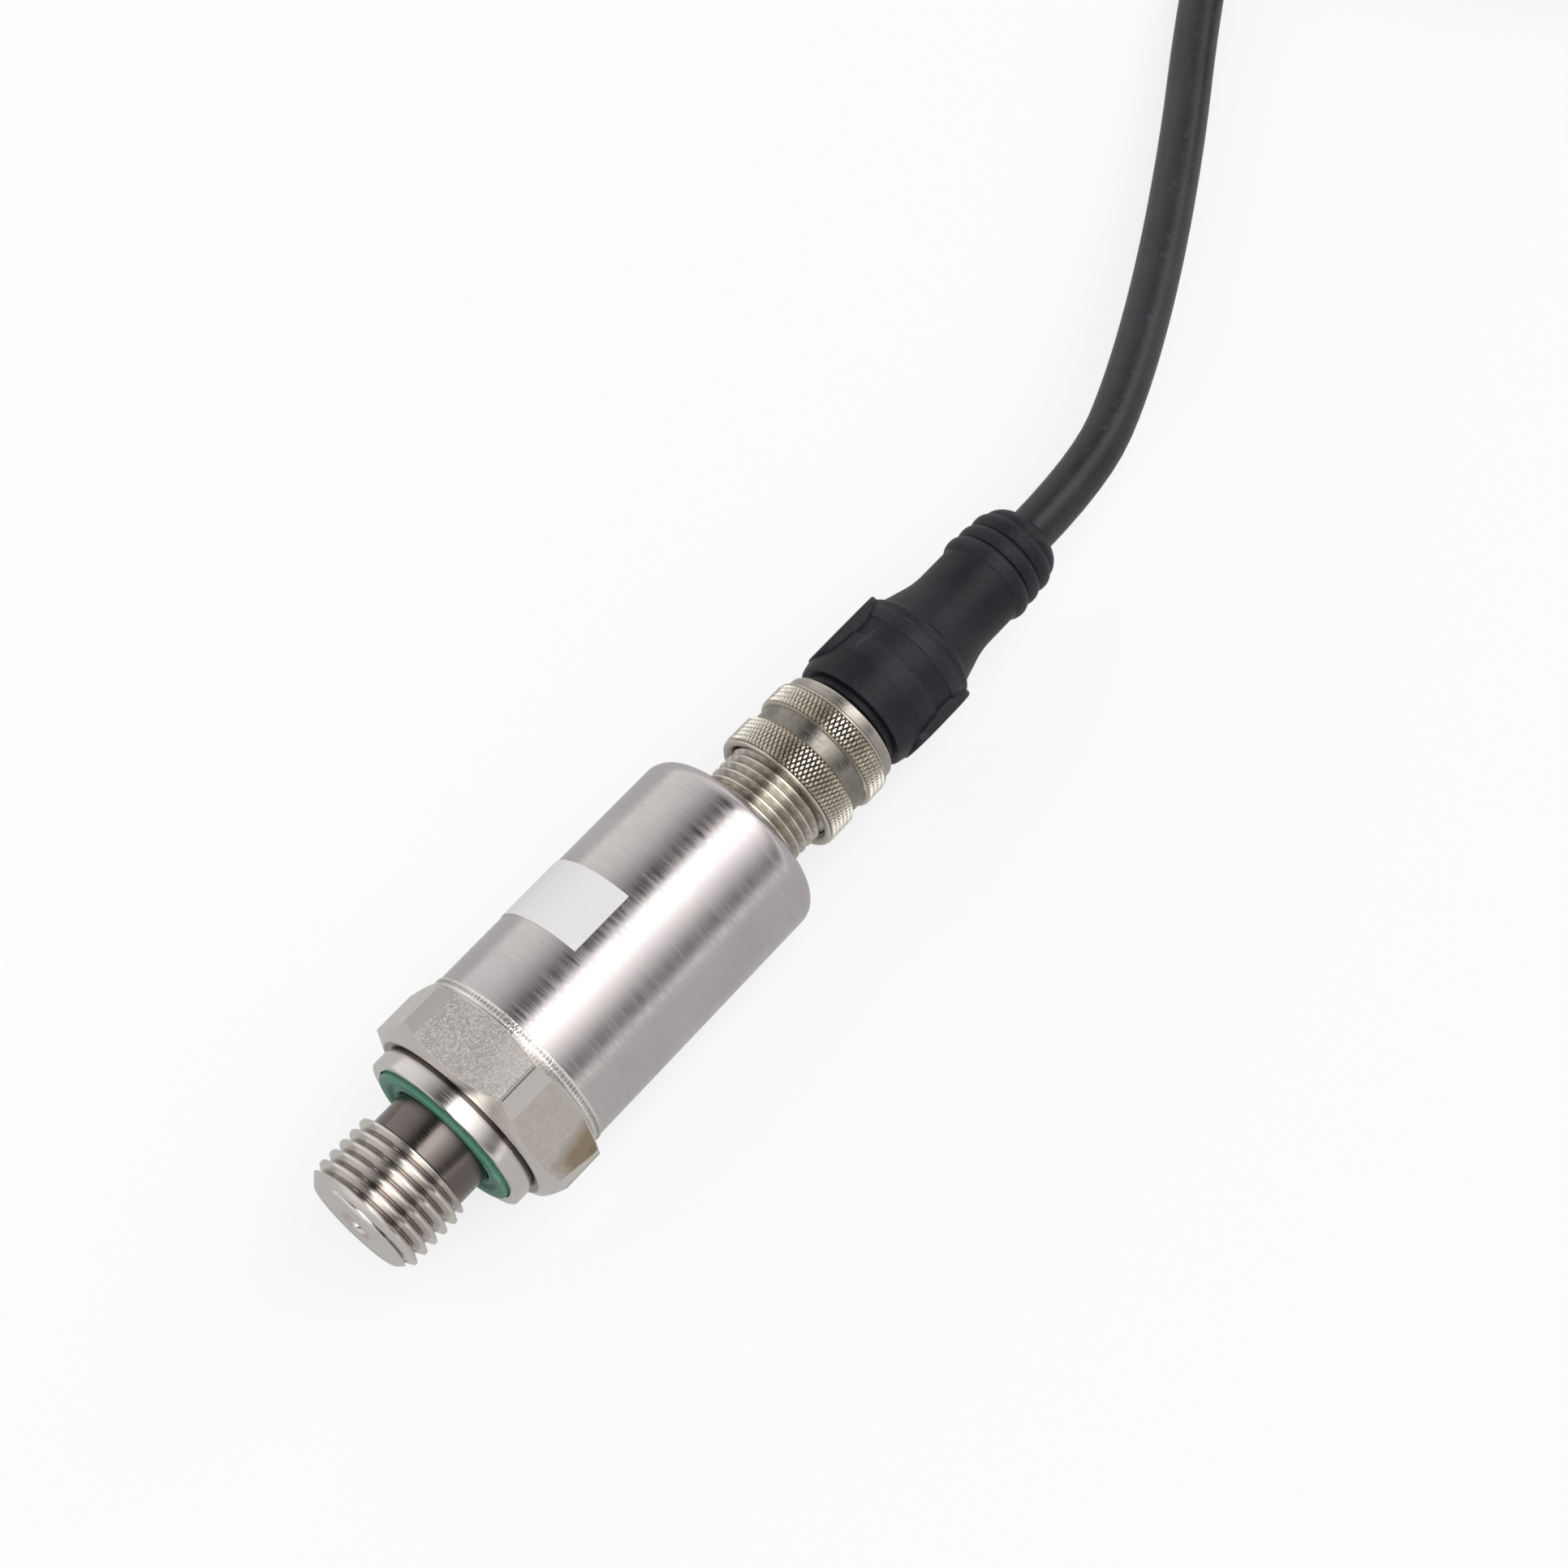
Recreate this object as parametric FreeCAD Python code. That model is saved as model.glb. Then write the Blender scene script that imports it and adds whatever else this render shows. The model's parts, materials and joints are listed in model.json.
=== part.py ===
import FreeCAD, Part
import math
import os

# Pressure transmitter with a plugged-in cable, in millimetres.
# It is built along the X axis, from the process thread (-X) to the cable (+X), and every
# station x_... is a distance along the axis from the sealing face of the collar.
# The finished part lies on one flat of its hexagon: the origin is the centre of that flat.

V = FreeCAD.Vector
AXIS = V(1, 0, 0)

# --- overall sizes ---
hex_af = 22.0                # across flats of the hexagon
hex_step = 0.3               # of the hexagon's flats over the housing
housing_l = 32.2             # from the middle of the weld to the housing's flat top
plug_l = 11.95               # from the housing's flat top to the plug's rim

# --- process connection ---
thread_d = 13.157            # G 1/4 outside diameter
stud_l = 12.0                # from the sealing face to the thread's end face
thread_chamfer = 1.1785
x_thread_runout = -4.75
thread_fade = 0.9285         # depth of the neck behind the thread
port_d = 3.0
port_chamfer = 0.4
collar_rim = 1.2             # flat left outside the seal
collar_l = 1.95
collar_chamfer = 0.2
undercut_w = 0.3
undercut_depth = 0.5
hex_lower_step = 0.8         # from a flat down to where the lower chamfer of the hexagon starts
hex_l = 7.05
hex_lower_angle = 28.0
hex_upper_angle = 30.0

# --- profile seal in the collar ---
seal_w = 2.5
seal_t = 1.5
seal_proud = 0.45
seal_groove_gap = 0.15
seal_neck_gap = 0.15
seal_edge = 0.2              # bevel of its outer edge
seal_lip = [(0.35, 0), (0.12, 0.45), (0.35, 0.85), (0, 1.3)]   # depth, and height over its bore

# --- ceramic pressure cell and what holds it ---
cell_t = 5.7
cell_gap = 0.15              # round the cell
cell_lift = 0.2              # from the pocket's floor, on its ring seal
membrane_t = 0.7
cell_wall = 3.6
x_pocket = 4.4
cell_seal_mean_d = 7.1
cell_seal_w = 1.9
cell_seal_h = 1.4
cell_seal_gap = 0.1
clamp_ring_t = 1.9
clamp_ring_w = 2.65
clamp_ring_over = 0.65       # of the ring over the cell, all round
clamp_slot_w = 1.6
clamp_slot_depth = 0.9
clamp_gap = 0.1

# --- weld between connection and housing ---
weld_w = 1.0
weld_depth = 0.68
weld_crown = 0.06
weld_land = 0.55             # from the end of the hexagon to the middle of the weld

# --- housing ---
housing_wall = 1.3
housing_end_t = 2.4
shoulder_r = 2.2
inner_bevel = 0.5
spigot_l = 2.35
spigot_wall = 0.6
spigot_bevel = 0.3
spigot_gap = 0.05

# --- type plate ---
label_t = 0.1
label_glue = 0.06
label_w = 7.5
label_from_weld = 9.25
label_from_deg = -80.0
label_to_deg = 94.7

# --- plug for the cable socket ---
plug_d = 11.9                # crests of the M12 thread
plug_wall = 1.6
plug_chamfer = 0.5
plug_hole_gap = 0.15
plug_flange_w = 1.65
plug_flange_t = 1.5
plug_seal_step = 0.75        # from the plug's outside to the middle of its seal
plug_seal_w = 1.0
plug_seal_h = 0.75
insert_depth = 7.4           # of the insert's face below the plug's rim
insert_gap = 0.1
insert_flange_t = 0.9
insert_flange_w = 1.45
pin_d = 1.0
pin_circle_d = 5.0
pin_hole_gap = 0.05
pin_reach = 5.8              # from the insert's face to the pin's tip
pin_tail = 2.0
pin_angles = (45, 135, 225, 315)
pin_tip = 0.4                # of the pin's radius left at its bevelled tip
key_w = 1.1
key_depth = 0.8
key_gap = 0.15
key_to_rim = 1.2
plug_seal_gap = 0.05

# --- electronics ---
board_edge = 1.8             # of the holder's rail outside the board
board_t = 1.0
board_to_spigot = 1.0
board_to_pins = 1.55
board_slot_gap = 0.05
amplifier_x = 3.4            # places of the chips along the board, then length, width, height
amplifier_size = (5.0, 5.0, 1.1)
output_x = 10.4
output_size = (4.4, 3.8, 1.2)
resistor_x = 10.6
resistor_y = (-5.0, -3.4, 3.4, 5.0)
resistor_size = (0.6, 1.1, 0.45)
capacitor_to_leads = 4.1
capacitor_y = (-4.8, -3.2, 3.2, 4.8)
capacitor_size = (1.6, 0.9, 0.9)
holder_gap = 0.1
holder_ring_l = 2.6
holder_wall = 2.2
rail_h = 3.2
rail_depth = 2.2
board_hole_d = 1.6
board_hole_y = 2.6
board_hole_inset = 2.2
lead_d = 0.5
lead_gap = 0.02
lead_lap = 3.0               # of a cell lead over the board
plug_lead_lap = 1.6
lead_edge = 0.15             # of a cell lead inside the middle of the cell's rim
solder_gap = 0.2             # between a lead's end and its pin
lead_spread = 2.2            # of the plug leads on the board, to their spread at the pins

# --- cable socket ---
socket_nose_gap = 0.25
socket_face_gap = 0.4
socket_flange_step = 0.2     # of the socket's flange inside the plug's thread
socket_flange_t = 1.45
socket_seal_t = 0.62
socket_seal_gap = 0.03       # between the seal and the plug's rim
socket_seal_inset = 0.1
socket_nose_bevel = 0.2
socket_stem_d = 9.8
socket_stem_l = 8.0
contact_d = 1.6
contact_bore_gap = 0.1
contact_l = 9.5
contact_entry = 0.5
contact_depth = 0.6          # of its bore beyond the pin's tip
key_slot_to_rim = 0.6
body_to_nut = 1.1
hub_l = 0.7
hub_d = 11.5
body_d = 13.9
body_groove = 0.2
body_bevel = 0.7             # along and across, at the moulding's front
body_swell = 0.1             # from behind that bevel to the full width
body_full = 3.3              # stations of the grip, from the moulding's front
band_start = 5.6
band_end = 7.9
step_start = 9.5
taper_bevel = 0.65           # across, at the start of the taper
taper_bevel_l = 0.3
end_round_l = 2.4
end_round = 0.7              # across
end_bevel_l = 0.7
cable_collar = 0.3           # of the moulding's end round the cable
neck_end_d = 9.74
neck_draft = 0.1
grip_l = 10.55               # these four from the moulding's front
taper_l = 15.25
neck_l = 20.65
body_l = 28.25
rib_count = 3
rib_pitch = 1.95
rib_w = 1.7
rib_top = 0.45               # share of its width that is flat
rib_root = 0.7
rib_rise = 0.43              # of the first rib over the neck
rib_fall = 0.15              # from each rib to the next
pad_inset = 1.3
pad_root = 1.0
pad_l = 9.6
pad_w = 7.0
pad_height = 7.05            # of the flat grip pads above the axis
pad_turn = 24.0              # degrees from +Y
overmould_gap = 0.05

# --- coupling nut ---
nut_wall = 1.2
nut_l = 10.35
nut_depth = 8.55             # from its open end to its shoulder
nut_thread_gap = 0.1
nut_groove_depth = 0.5
nut_lead_in = 0.3            # bevel of its thread's mouth
nut_bevel = (0.2, 0.15)      # of its open end, along and across
nut_step = 0.2               # sloping sides of the groove, along
knurl_2_step = 0.05          # of the second knurl under the first
nut_slope = 0.35             # between the second knurl and the rim, along
rim_bevel = (0.45, 0.5)
rim_draft = 0.15
nut_neck_gap = 0.2
knurl_1_l = 3.7
groove_l = 2.2
knurl_2_l = 2.6
rim_step = 0.55
nut_play = 0.05              # between the nut's shoulder and the socket's flange

# --- cable ---
cable_d = 5.2
core_d = 1.3
core_l = 17.0
core_pitch = 1.35            # between neighbouring cores at the stripped end
core_fan = 2.6               # between neighbouring cores at their tips
core_drop = 0.7              # of the cores' middle below the cable's middle
core_rest = 0.45             # of a core's tip above the turns that it lies on
core_gap = 0.1               # between the cable's end face and its cores
core_colours = ("brown", "white", "blue", "black")
ferrule_d = 1.0
ferrule_l = 6.0
coil_fold = 3.0              # the tightest bend, in diameters, at the ends of the long coil
coil_run = 44.0              # straight stretch between the two ends
coil_skin = 0.1              # the coil's solid over its cable, and between its turns
coil_columns = 3
coil_layers = 2
coil_climb = (0.0, 0.4, 1.0, 1.0)   # of the last half turn, onto the others, as a share
entry_stub = 18.0            # of cable that belongs to the coil's solid, before its first turn
tie_t = 0.6
tie_w = 2.6
tie_gap = 0.15
tie_head = 4.2
tie_head_h = 2.4
tie_end_l = 5.0              # of the strap beyond its head
tie_places = ((0.5, 270), (1, 0))   # along the straight stretch, as a share, and the side

# --- worked out ---
hex_flat_r = hex_af / 2
hex_corner_r = hex_flat_r / math.cos(math.pi / 6)
hex_face_r = hex_flat_r - hex_lower_step
housing_r = hex_flat_r - hex_step
neck_r = thread_d / 2 - thread_fade
seal_r = neck_r + seal_neck_gap + seal_w
collar_r = seal_r + collar_rim
x_hex = collar_l + undercut_w
x_hex_end = x_hex + hex_l
x_weld = x_hex_end + weld_land
bore_r = housing_r - housing_wall
spigot_r = bore_r - spigot_gap
clamp_ring_d = 2 * (spigot_r - spigot_wall - clamp_gap)
clamp_ring_hole_d = clamp_ring_d - 2 * clamp_ring_w
cell_d = clamp_ring_d - 2 * clamp_ring_over
cell_recess_d = cell_d - 2 * cell_wall
x_spigot_end = x_weld + spigot_l
x_label = x_weld + label_from_weld
x_housing_top = x_weld + housing_l
x_plug_rim = x_housing_top + plug_l
x_insert_face = x_plug_rim - insert_depth
x_end_wall = x_housing_top - housing_end_t
x_cell = x_pocket + cell_lift
x_cell_back = x_cell + cell_t
x_plug_flange = x_end_wall - plug_flange_t
x_insert = x_plug_flange - insert_flange_t
x_board = x_spigot_end + board_to_spigot
x_board_end = x_insert - pin_tail - board_to_pins
capacitor_x = x_board_end - x_board - plug_lead_lap - capacitor_to_leads - capacitor_size[0]
board_w = 2 * (bore_r - holder_gap - board_edge)
plug_bore_d = plug_d - 2 * plug_wall
plug_seal_mean_d = plug_d + 2 * plug_seal_step
plug_flange_r = plug_d / 2 + plug_flange_w
insert_flange_r = plug_bore_d / 2 + insert_flange_w
socket_flange_r = plug_d / 2 - socket_flange_step
x_socket_face = x_insert_face + socket_face_gap
x_socket_flange = x_plug_rim + socket_seal_t + socket_seal_gap
x_socket_stem = x_socket_flange + socket_flange_t
x_nut_shoulder = x_socket_stem + nut_play
x_nut = x_nut_shoulder - nut_depth
x_nut_end = x_nut + nut_l
x_body_front = x_nut_end + body_to_nut
x_body_end = x_body_front + body_l
socket_nose_r = plug_bore_d / 2 - socket_nose_gap
cable_r = cable_d / 2
coil_pitch = cable_d + coil_skin
coil_layer = cable_d
coil_fold_r = coil_fold * cable_d
coil_outer_r = coil_fold_r + coil_pitch * (coil_columns - 1)
coil_mean_r = (coil_fold_r + coil_outer_r) / 2
lower_slope = math.tan(math.radians(hex_lower_angle))
upper_slope = math.tan(math.radians(hex_upper_angle))
x_flat_start = x_hex + hex_lower_step * lower_slope
x_flat_end = x_hex_end - hex_step * upper_slope
hex_flat_mid = (x_flat_start + x_flat_end) / 2
axis_height = hex_flat_r
LAY = V(-hex_flat_mid, 0, axis_height)

# the cable's way over the table, in the finished part's own frame
x_exit = x_body_end - hex_flat_mid
route = [
    V(x_exit, 0, axis_height),
    V(x_exit + 10.7, 0, axis_height),
    V(103.6, 4.2, 10.0),
    V(119.1, 12.0, 7.9),
    V(136.6, 22.2, 5.6),
    V(150.6, 31.2, 4.4),
    V(165.5, 40.0, 3.7),
    V(181.0, 45.4, 3.45),
    V(195.5, 45.4, 3.45),
]

# its last stretch on top of the coil, from the start of the coil's first straight
coil_exit = [V(12, -1.4, 10.6), V(22, -3.0, 10.6)]
tail = [V(22, -3.0, 10.6), V(31, -4.44, 10.6), V(40, -7.0, 10.6)]


# --- tools of the trade ---
def outline(start, steps):
    """Closed face in the XY half plane: (x, r) is a line, (xm, rm, x, r) an arc through a point."""
    edges = []
    here = V(start[0], start[1], 0)
    for step in steps + [start]:
        end = V(step[-2], step[-1], 0)
        if len(step) == 4:
            edges.append(Part.Arc(here, V(step[0], step[1], 0), end).toShape())
        elif (end - here).Length > 1e-6:
            edges.append(Part.LineSegment(here, end).toShape())
        here = end
    return Part.Face(Part.Wire(edges))


def turned(start, steps):
    """Solid turned about the X axis from an outline."""
    solid = outline(start, steps).revolve(V(0, 0, 0), AXIS, 360)
    return solid if solid.Volume > 0 else solid.reversed()


def rod(x0, x1, radius, y=0.0, z=0.0):
    return Part.makeCylinder(radius, x1 - x0, V(x0, y, z), AXIS)


def block(x0, x1, y0, y1, z0, z1):
    return Part.makeBox(x1 - x0, y1 - y0, z1 - z0, V(x0, y0, z0))


def washer(x0, x1, inner_d, outer_d):
    return rod(x0, x1, outer_d / 2).cut(rod(x0, x1, inner_d / 2))


def soft_ring(x0, x1, mean_d, width):
    """Squeezed ring seal: flat where it is pressed, bulging at its inner and outer side."""
    side = min(width, x1 - x0) * 0.25
    inner = (mean_d - width) / 2
    outer = (mean_d + width) / 2
    middle = (x0 + x1) / 2
    return turned((x0, inner + side), [
        (x0, outer - side),
        (middle, outer),
        (x1, outer - side),
        (x1, inner + side),
        (middle, inner),
    ])


def save(name, shape, lay=True):
    shape = shape.copy()
    if lay:
        shape.translate(LAY)
    shape.exportStep("parts/" + name + ".step")


def pin_places():
    radius = pin_circle_d / 2
    turns = [math.radians(a) for a in pin_angles]
    return [(radius * math.cos(a), radius * math.sin(a)) for a in turns]


# --- process side ---
def process_connection():
    """Turned from hexagon bar: stud, seal recess, collar, wrench hexagon, pocket and spigot."""
    over = hex_corner_r + 0.5
    lower_run = (over - hex_face_r) * lower_slope
    upper_run = (over - housing_r) * upper_slope
    recess = seal_t - seal_proud
    recess_r = seal_r + seal_groove_gap
    pocket_r = cell_d / 2 + cell_gap
    clamp_r = clamp_ring_d / 2 + clamp_gap
    groove_in = (cell_seal_mean_d - cell_seal_w) / 2 - cell_seal_gap
    groove_out = (cell_seal_mean_d + cell_seal_w) / 2 + cell_seal_gap
    x_groove = x_cell - cell_seal_h
    body = turned((-stud_l, port_d / 2 + port_chamfer), [
        (-stud_l, thread_d / 2 - thread_chamfer),
        (-stud_l + thread_chamfer, thread_d / 2),
        (x_thread_runout, thread_d / 2),
        (x_thread_runout + thread_fade, neck_r),
        (recess, neck_r),
        (recess, recess_r),
        (0, recess_r),
        (0, collar_r - collar_chamfer),
        (collar_chamfer, collar_r),
        (collar_l, collar_r),
        (collar_l, collar_r - undercut_depth),
        (x_hex, collar_r - undercut_depth),
        (x_hex, hex_face_r),
        (x_hex + lower_run, over),
        (x_hex_end - upper_run, over),
        (x_hex_end, housing_r),
        (x_weld - weld_w / 2, housing_r),
        (x_weld, housing_r - weld_depth),
        (x_weld, spigot_r),
        (x_spigot_end - spigot_bevel, spigot_r),
        (x_spigot_end, spigot_r - spigot_bevel),
        (x_spigot_end, clamp_r),
        (x_cell_back, clamp_r),
        (x_cell_back, pocket_r),
        (x_pocket, pocket_r),
        (x_pocket, groove_out),
        (x_groove, groove_out),
        (x_groove, groove_in),
        (x_pocket, groove_in),
        (x_pocket, port_d / 2),
        (-stud_l + port_chamfer, port_d / 2),
    ])
    corners = [math.radians(60 * i) for i in range(7)]
    ring = [V(x_hex, hex_corner_r * math.cos(a), hex_corner_r * math.sin(a)) for a in corners]
    prism = Part.Face(Part.makePolygon(ring)).extrude(V(hex_l, 0, 0))
    waste = rod(x_hex, x_hex_end, over + 1).cut(prism)
    return body.cut(waste)


def seal_ring():
    """Profile seal: a flat ring with a lip towards the neck and a bevelled outer edge."""
    x0 = -seal_proud
    x1 = seal_t - seal_proud
    inner = neck_r + seal_neck_gap
    outer = seal_r
    lip = [(x0 + depth, inner + height) for depth, height in seal_lip]
    return turned(lip[0], lip[1:] + [
        (x0, outer - seal_edge),
        (x0 + seal_edge, outer),
        (x1, outer),
        (x1, inner),
    ])


def cell_seal():
    return soft_ring(x_cell - cell_seal_h, x_cell, cell_seal_mean_d, cell_seal_w)


def ceramic_cell():
    """Cup of ceramic whose thin floor is the membrane."""
    return turned((x_cell, 0), [
        (x_cell, cell_d / 2),
        (x_cell_back, cell_d / 2),
        (x_cell_back, cell_recess_d / 2),
        (x_cell + membrane_t, cell_recess_d / 2),
        (x_cell + membrane_t, 0),
    ])


def clamp_ring():
    """Screwed ring over the cell, with four slots for its key."""
    x1 = x_cell_back + clamp_ring_t
    ring = washer(x_cell_back, x1, clamp_ring_hole_d, clamp_ring_d)
    reach = clamp_ring_d / 2 + 1
    half = clamp_slot_w / 2
    x0 = x1 - clamp_slot_depth
    ring = ring.cut(block(x0, x1, -reach, reach, -half, half))
    return ring.cut(block(x0, x1, -half, half, -reach, reach))


def cell_leads():
    """Four wires from the back of the cell onto the two faces of the board."""
    height = board_t / 2 + lead_d / 2 + lead_gap
    side = (cell_recess_d / 2 + clamp_ring_hole_d / 2) / 2 - lead_edge
    wires = []
    for y in (-side, side):
        for z in (-height, height):
            wires.append(rod(x_cell_back, x_board + lead_lap, lead_d / 2, y, z))
    return Part.Compound(wires)


def weld_seam():
    half = weld_w / 2
    return turned((x_weld, housing_r - weld_depth), [
        (x_weld - half, housing_r),
        (x_weld - half / 2, housing_r + weld_crown),
        (x_weld + half / 2, housing_r + weld_crown),
        (x_weld + half, housing_r),
    ])


def housing():
    """Drawn cup over the electronics, welded to the connection at its open end."""
    r = shoulder_r
    xc = x_housing_top - r
    k = math.sqrt(0.5)
    hole = plug_d / 2 + plug_hole_gap
    return turned((x_weld, bore_r), [
        (x_weld, housing_r - weld_depth),
        (x_weld + weld_w / 2, housing_r),
        (xc, housing_r),
        (xc + r * k, housing_r - r + r * k, x_housing_top, housing_r - r),
        (x_housing_top, hole),
        (x_end_wall, hole),
        (x_end_wall, bore_r - inner_bevel),
        (x_end_wall - inner_bevel, bore_r),
    ])


def label():
    """Thin type plate bent round the housing."""
    inner = housing_r + label_glue
    outer = inner + label_t
    x1 = x_label + label_w
    face = outline((x_label, inner), [(x_label, outer), (x1, outer), (x1, inner)])
    plate = face.revolve(V(0, 0, 0), AXIS, label_to_deg - label_from_deg)
    plate.rotate(V(0, 0, 0), AXIS, label_from_deg)
    return plate


# --- electronics ---
def board_holder():
    """Moulded cage: two rings joined by two grooved rails that grip the board's edges."""
    outer = 2 * (bore_r - holder_gap)
    inner = outer - 2 * holder_wall
    x0 = x_spigot_end
    x1 = x_plug_flange
    cage = washer(x0, x0 + holder_ring_l, inner, outer)
    cage = cage.fuse(washer(x1 - holder_ring_l, x1, inner, outer))
    half = rail_h / 2
    rails = washer(x0, x1, outer - 2 * rail_depth, outer)
    cage = cage.fuse(rails.common(block(x0, x1, -outer, outer, -half, half)))
    slot_y = board_w / 2 + board_slot_gap
    slot_z = board_t / 2 + board_slot_gap
    slot = block(x_board - board_slot_gap, x_board_end + board_slot_gap, -slot_y, slot_y, -slot_z, slot_z)
    return cage.cut(slot).removeSplitter()


def circuit_board():
    half_w = board_w / 2
    half_t = board_t / 2
    board = block(x_board, x_board_end, -half_w, half_w, -half_t, half_t)
    for y in (-board_hole_y, board_hole_y):
        place = V(x_board_end - board_hole_inset, y, -half_t)
        hole = Part.makeCylinder(board_hole_d / 2, board_t, place)
        board = board.cut(hole)
    return board


def on_board(x, y, length, width, height):
    """A chip standing on the board's upper face, its place measured from the board's first edge."""
    z0 = board_t / 2
    x0 = x_board + x
    return block(x0, x0 + length, y - width / 2, y + width / 2, z0, z0 + height)


def chip_capacitors():
    return Part.Compound([on_board(capacitor_x, y, *capacitor_size) for y in capacitor_y])


def chip_resistors():
    return Part.Compound([on_board(resistor_x, y, *resistor_size) for y in resistor_y])


# --- plug ---
def plug_sleeve():
    """Threaded sleeve, put through the housing's end from inside."""
    chamfer = plug_chamfer
    outer = plug_d / 2
    inner = plug_bore_d / 2
    groove_in = (plug_seal_mean_d - plug_seal_w) / 2 - plug_seal_gap
    groove_out = (plug_seal_mean_d + plug_seal_w) / 2 + plug_seal_gap
    x_groove = x_end_wall - plug_seal_h
    return turned((x_plug_flange, inner), [
        (x_plug_flange, plug_flange_r),
        (x_end_wall, plug_flange_r),
        (x_end_wall, groove_out),
        (x_groove, groove_out),
        (x_groove, groove_in),
        (x_end_wall, groove_in),
        (x_end_wall, outer),
        (x_plug_rim - chamfer, outer),
        (x_plug_rim, outer - chamfer),
        (x_plug_rim, inner),
    ])


def plug_seal():
    return soft_ring(x_end_wall - plug_seal_h, x_end_wall, plug_seal_mean_d, plug_seal_w)


def plug_insert():
    """Contact carrier of the plug, with the key that lets the socket in one way only."""
    inner = plug_bore_d / 2 - insert_gap
    body = turned((x_insert, 0), [
        (x_insert, insert_flange_r),
        (x_plug_flange, insert_flange_r),
        (x_plug_flange, inner),
        (x_insert_face, inner),
        (x_insert_face, 0),
    ])
    half = key_w / 2
    key = block(x_insert, x_plug_rim - key_to_rim, -half, half, inner - key_depth, inner + 1)
    body = body.fuse(key.common(rod(x_insert, x_plug_rim, inner))).removeSplitter()
    for y, z in pin_places():
        body = body.cut(rod(x_insert - 1, x_insert_face + 1, pin_d / 2 + pin_hole_gap, y, z))
    return body


def plug_pin(y, z):
    """Round contact pin with a bevelled tip."""
    r = pin_d / 2
    x0 = x_insert - pin_tail
    x1 = x_insert_face + pin_reach
    pin = turned((x0, 0), [(x0, r), (x1 - r, r), (x1, r * pin_tip), (x1, 0)])
    pin.translate(V(0, y, z))
    return pin


def plug_leads():
    """Four short wires from the board's end to the tails of the pins."""
    tail = x_insert - pin_tail - solder_gap
    height = board_t / 2 + lead_d + lead_gap
    wires = []
    for y, z in pin_places():
        start = V(x_board_end - plug_lead_lap, y * lead_spread, math.copysign(height, z))
        way = V(tail, y, z) - start
        wires.append(Part.makeCylinder(lead_d / 2, way.Length, start, way))
    return Part.Compound(wires)


# --- cable socket ---
def socket_insert():
    """Contact carrier of the socket: nose in the plug, flange for the seal, stem in the moulding."""
    nose = socket_nose_r
    body = turned((x_socket_face, 0), [
        (x_socket_face, nose - socket_nose_bevel),
        (x_socket_face + socket_nose_bevel, nose),
        (x_socket_flange, nose),
        (x_socket_flange, socket_flange_r),
        (x_socket_stem, socket_flange_r),
        (x_socket_stem, socket_stem_d / 2),
        (x_socket_stem + socket_stem_l, socket_stem_d / 2),
        (x_socket_stem + socket_stem_l, 0),
    ])
    key_floor = plug_bore_d / 2 - insert_gap - key_depth - key_gap
    half = key_w / 2 + key_gap
    slot_end = x_plug_rim - key_slot_to_rim
    body = body.cut(block(x_socket_face - 1, slot_end, -half, half, key_floor, nose + 1))
    x_seat = x_socket_face + contact_entry
    for y, z in pin_places():
        body = body.cut(rod(x_socket_face - 1, x_seat + contact_l, contact_d / 2, y, z))
    return body


def socket_contact(y, z):
    """Turned contact, bored for the pin."""
    x_seat = x_socket_face + contact_entry
    bore_end = x_insert_face + pin_reach + contact_depth
    contact = rod(x_seat, x_seat + contact_l, contact_d / 2, y, z)
    return contact.cut(rod(x_seat, bore_end, pin_d / 2 + contact_bore_gap, y, z))


def socket_seal():
    mean_d = socket_nose_r + plug_d / 2 - plug_chamfer
    width = plug_d / 2 - plug_chamfer - socket_nose_r - socket_seal_inset
    return soft_ring(x_socket_flange - socket_seal_t, x_socket_flange, mean_d, width)


def rib(x, radius):
    """Bevelled rib round the end of the moulding."""
    half = rib_w / 2
    base = radius - rib_root
    return turned((x - half, base), [
        (x - half * rib_top, radius),
        (x + half * rib_top, radius),
        (x + half, base),
    ])


def grip_pad():
    """Oval pad with a flat top, standing on the side of the moulding."""
    x0 = x_body_front + pad_inset
    r = pad_w / 2
    a = V(x0 + r, 0, 0)
    b = V(x0 + pad_l - r, 0, 0)
    ends = [
        Part.LineSegment(a + V(0, 0, r), b + V(0, 0, r)).toShape(),
        Part.Arc(b + V(0, 0, r), b + V(r, 0, 0), b - V(0, 0, r)).toShape(),
        Part.LineSegment(b - V(0, 0, r), a - V(0, 0, r)).toShape(),
        Part.Arc(a - V(0, 0, r), a - V(r, 0, 0), a + V(0, 0, r)).toShape(),
    ]
    return Part.Face(Part.Wire(ends)).extrude(V(0, pad_height, 0))


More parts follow.
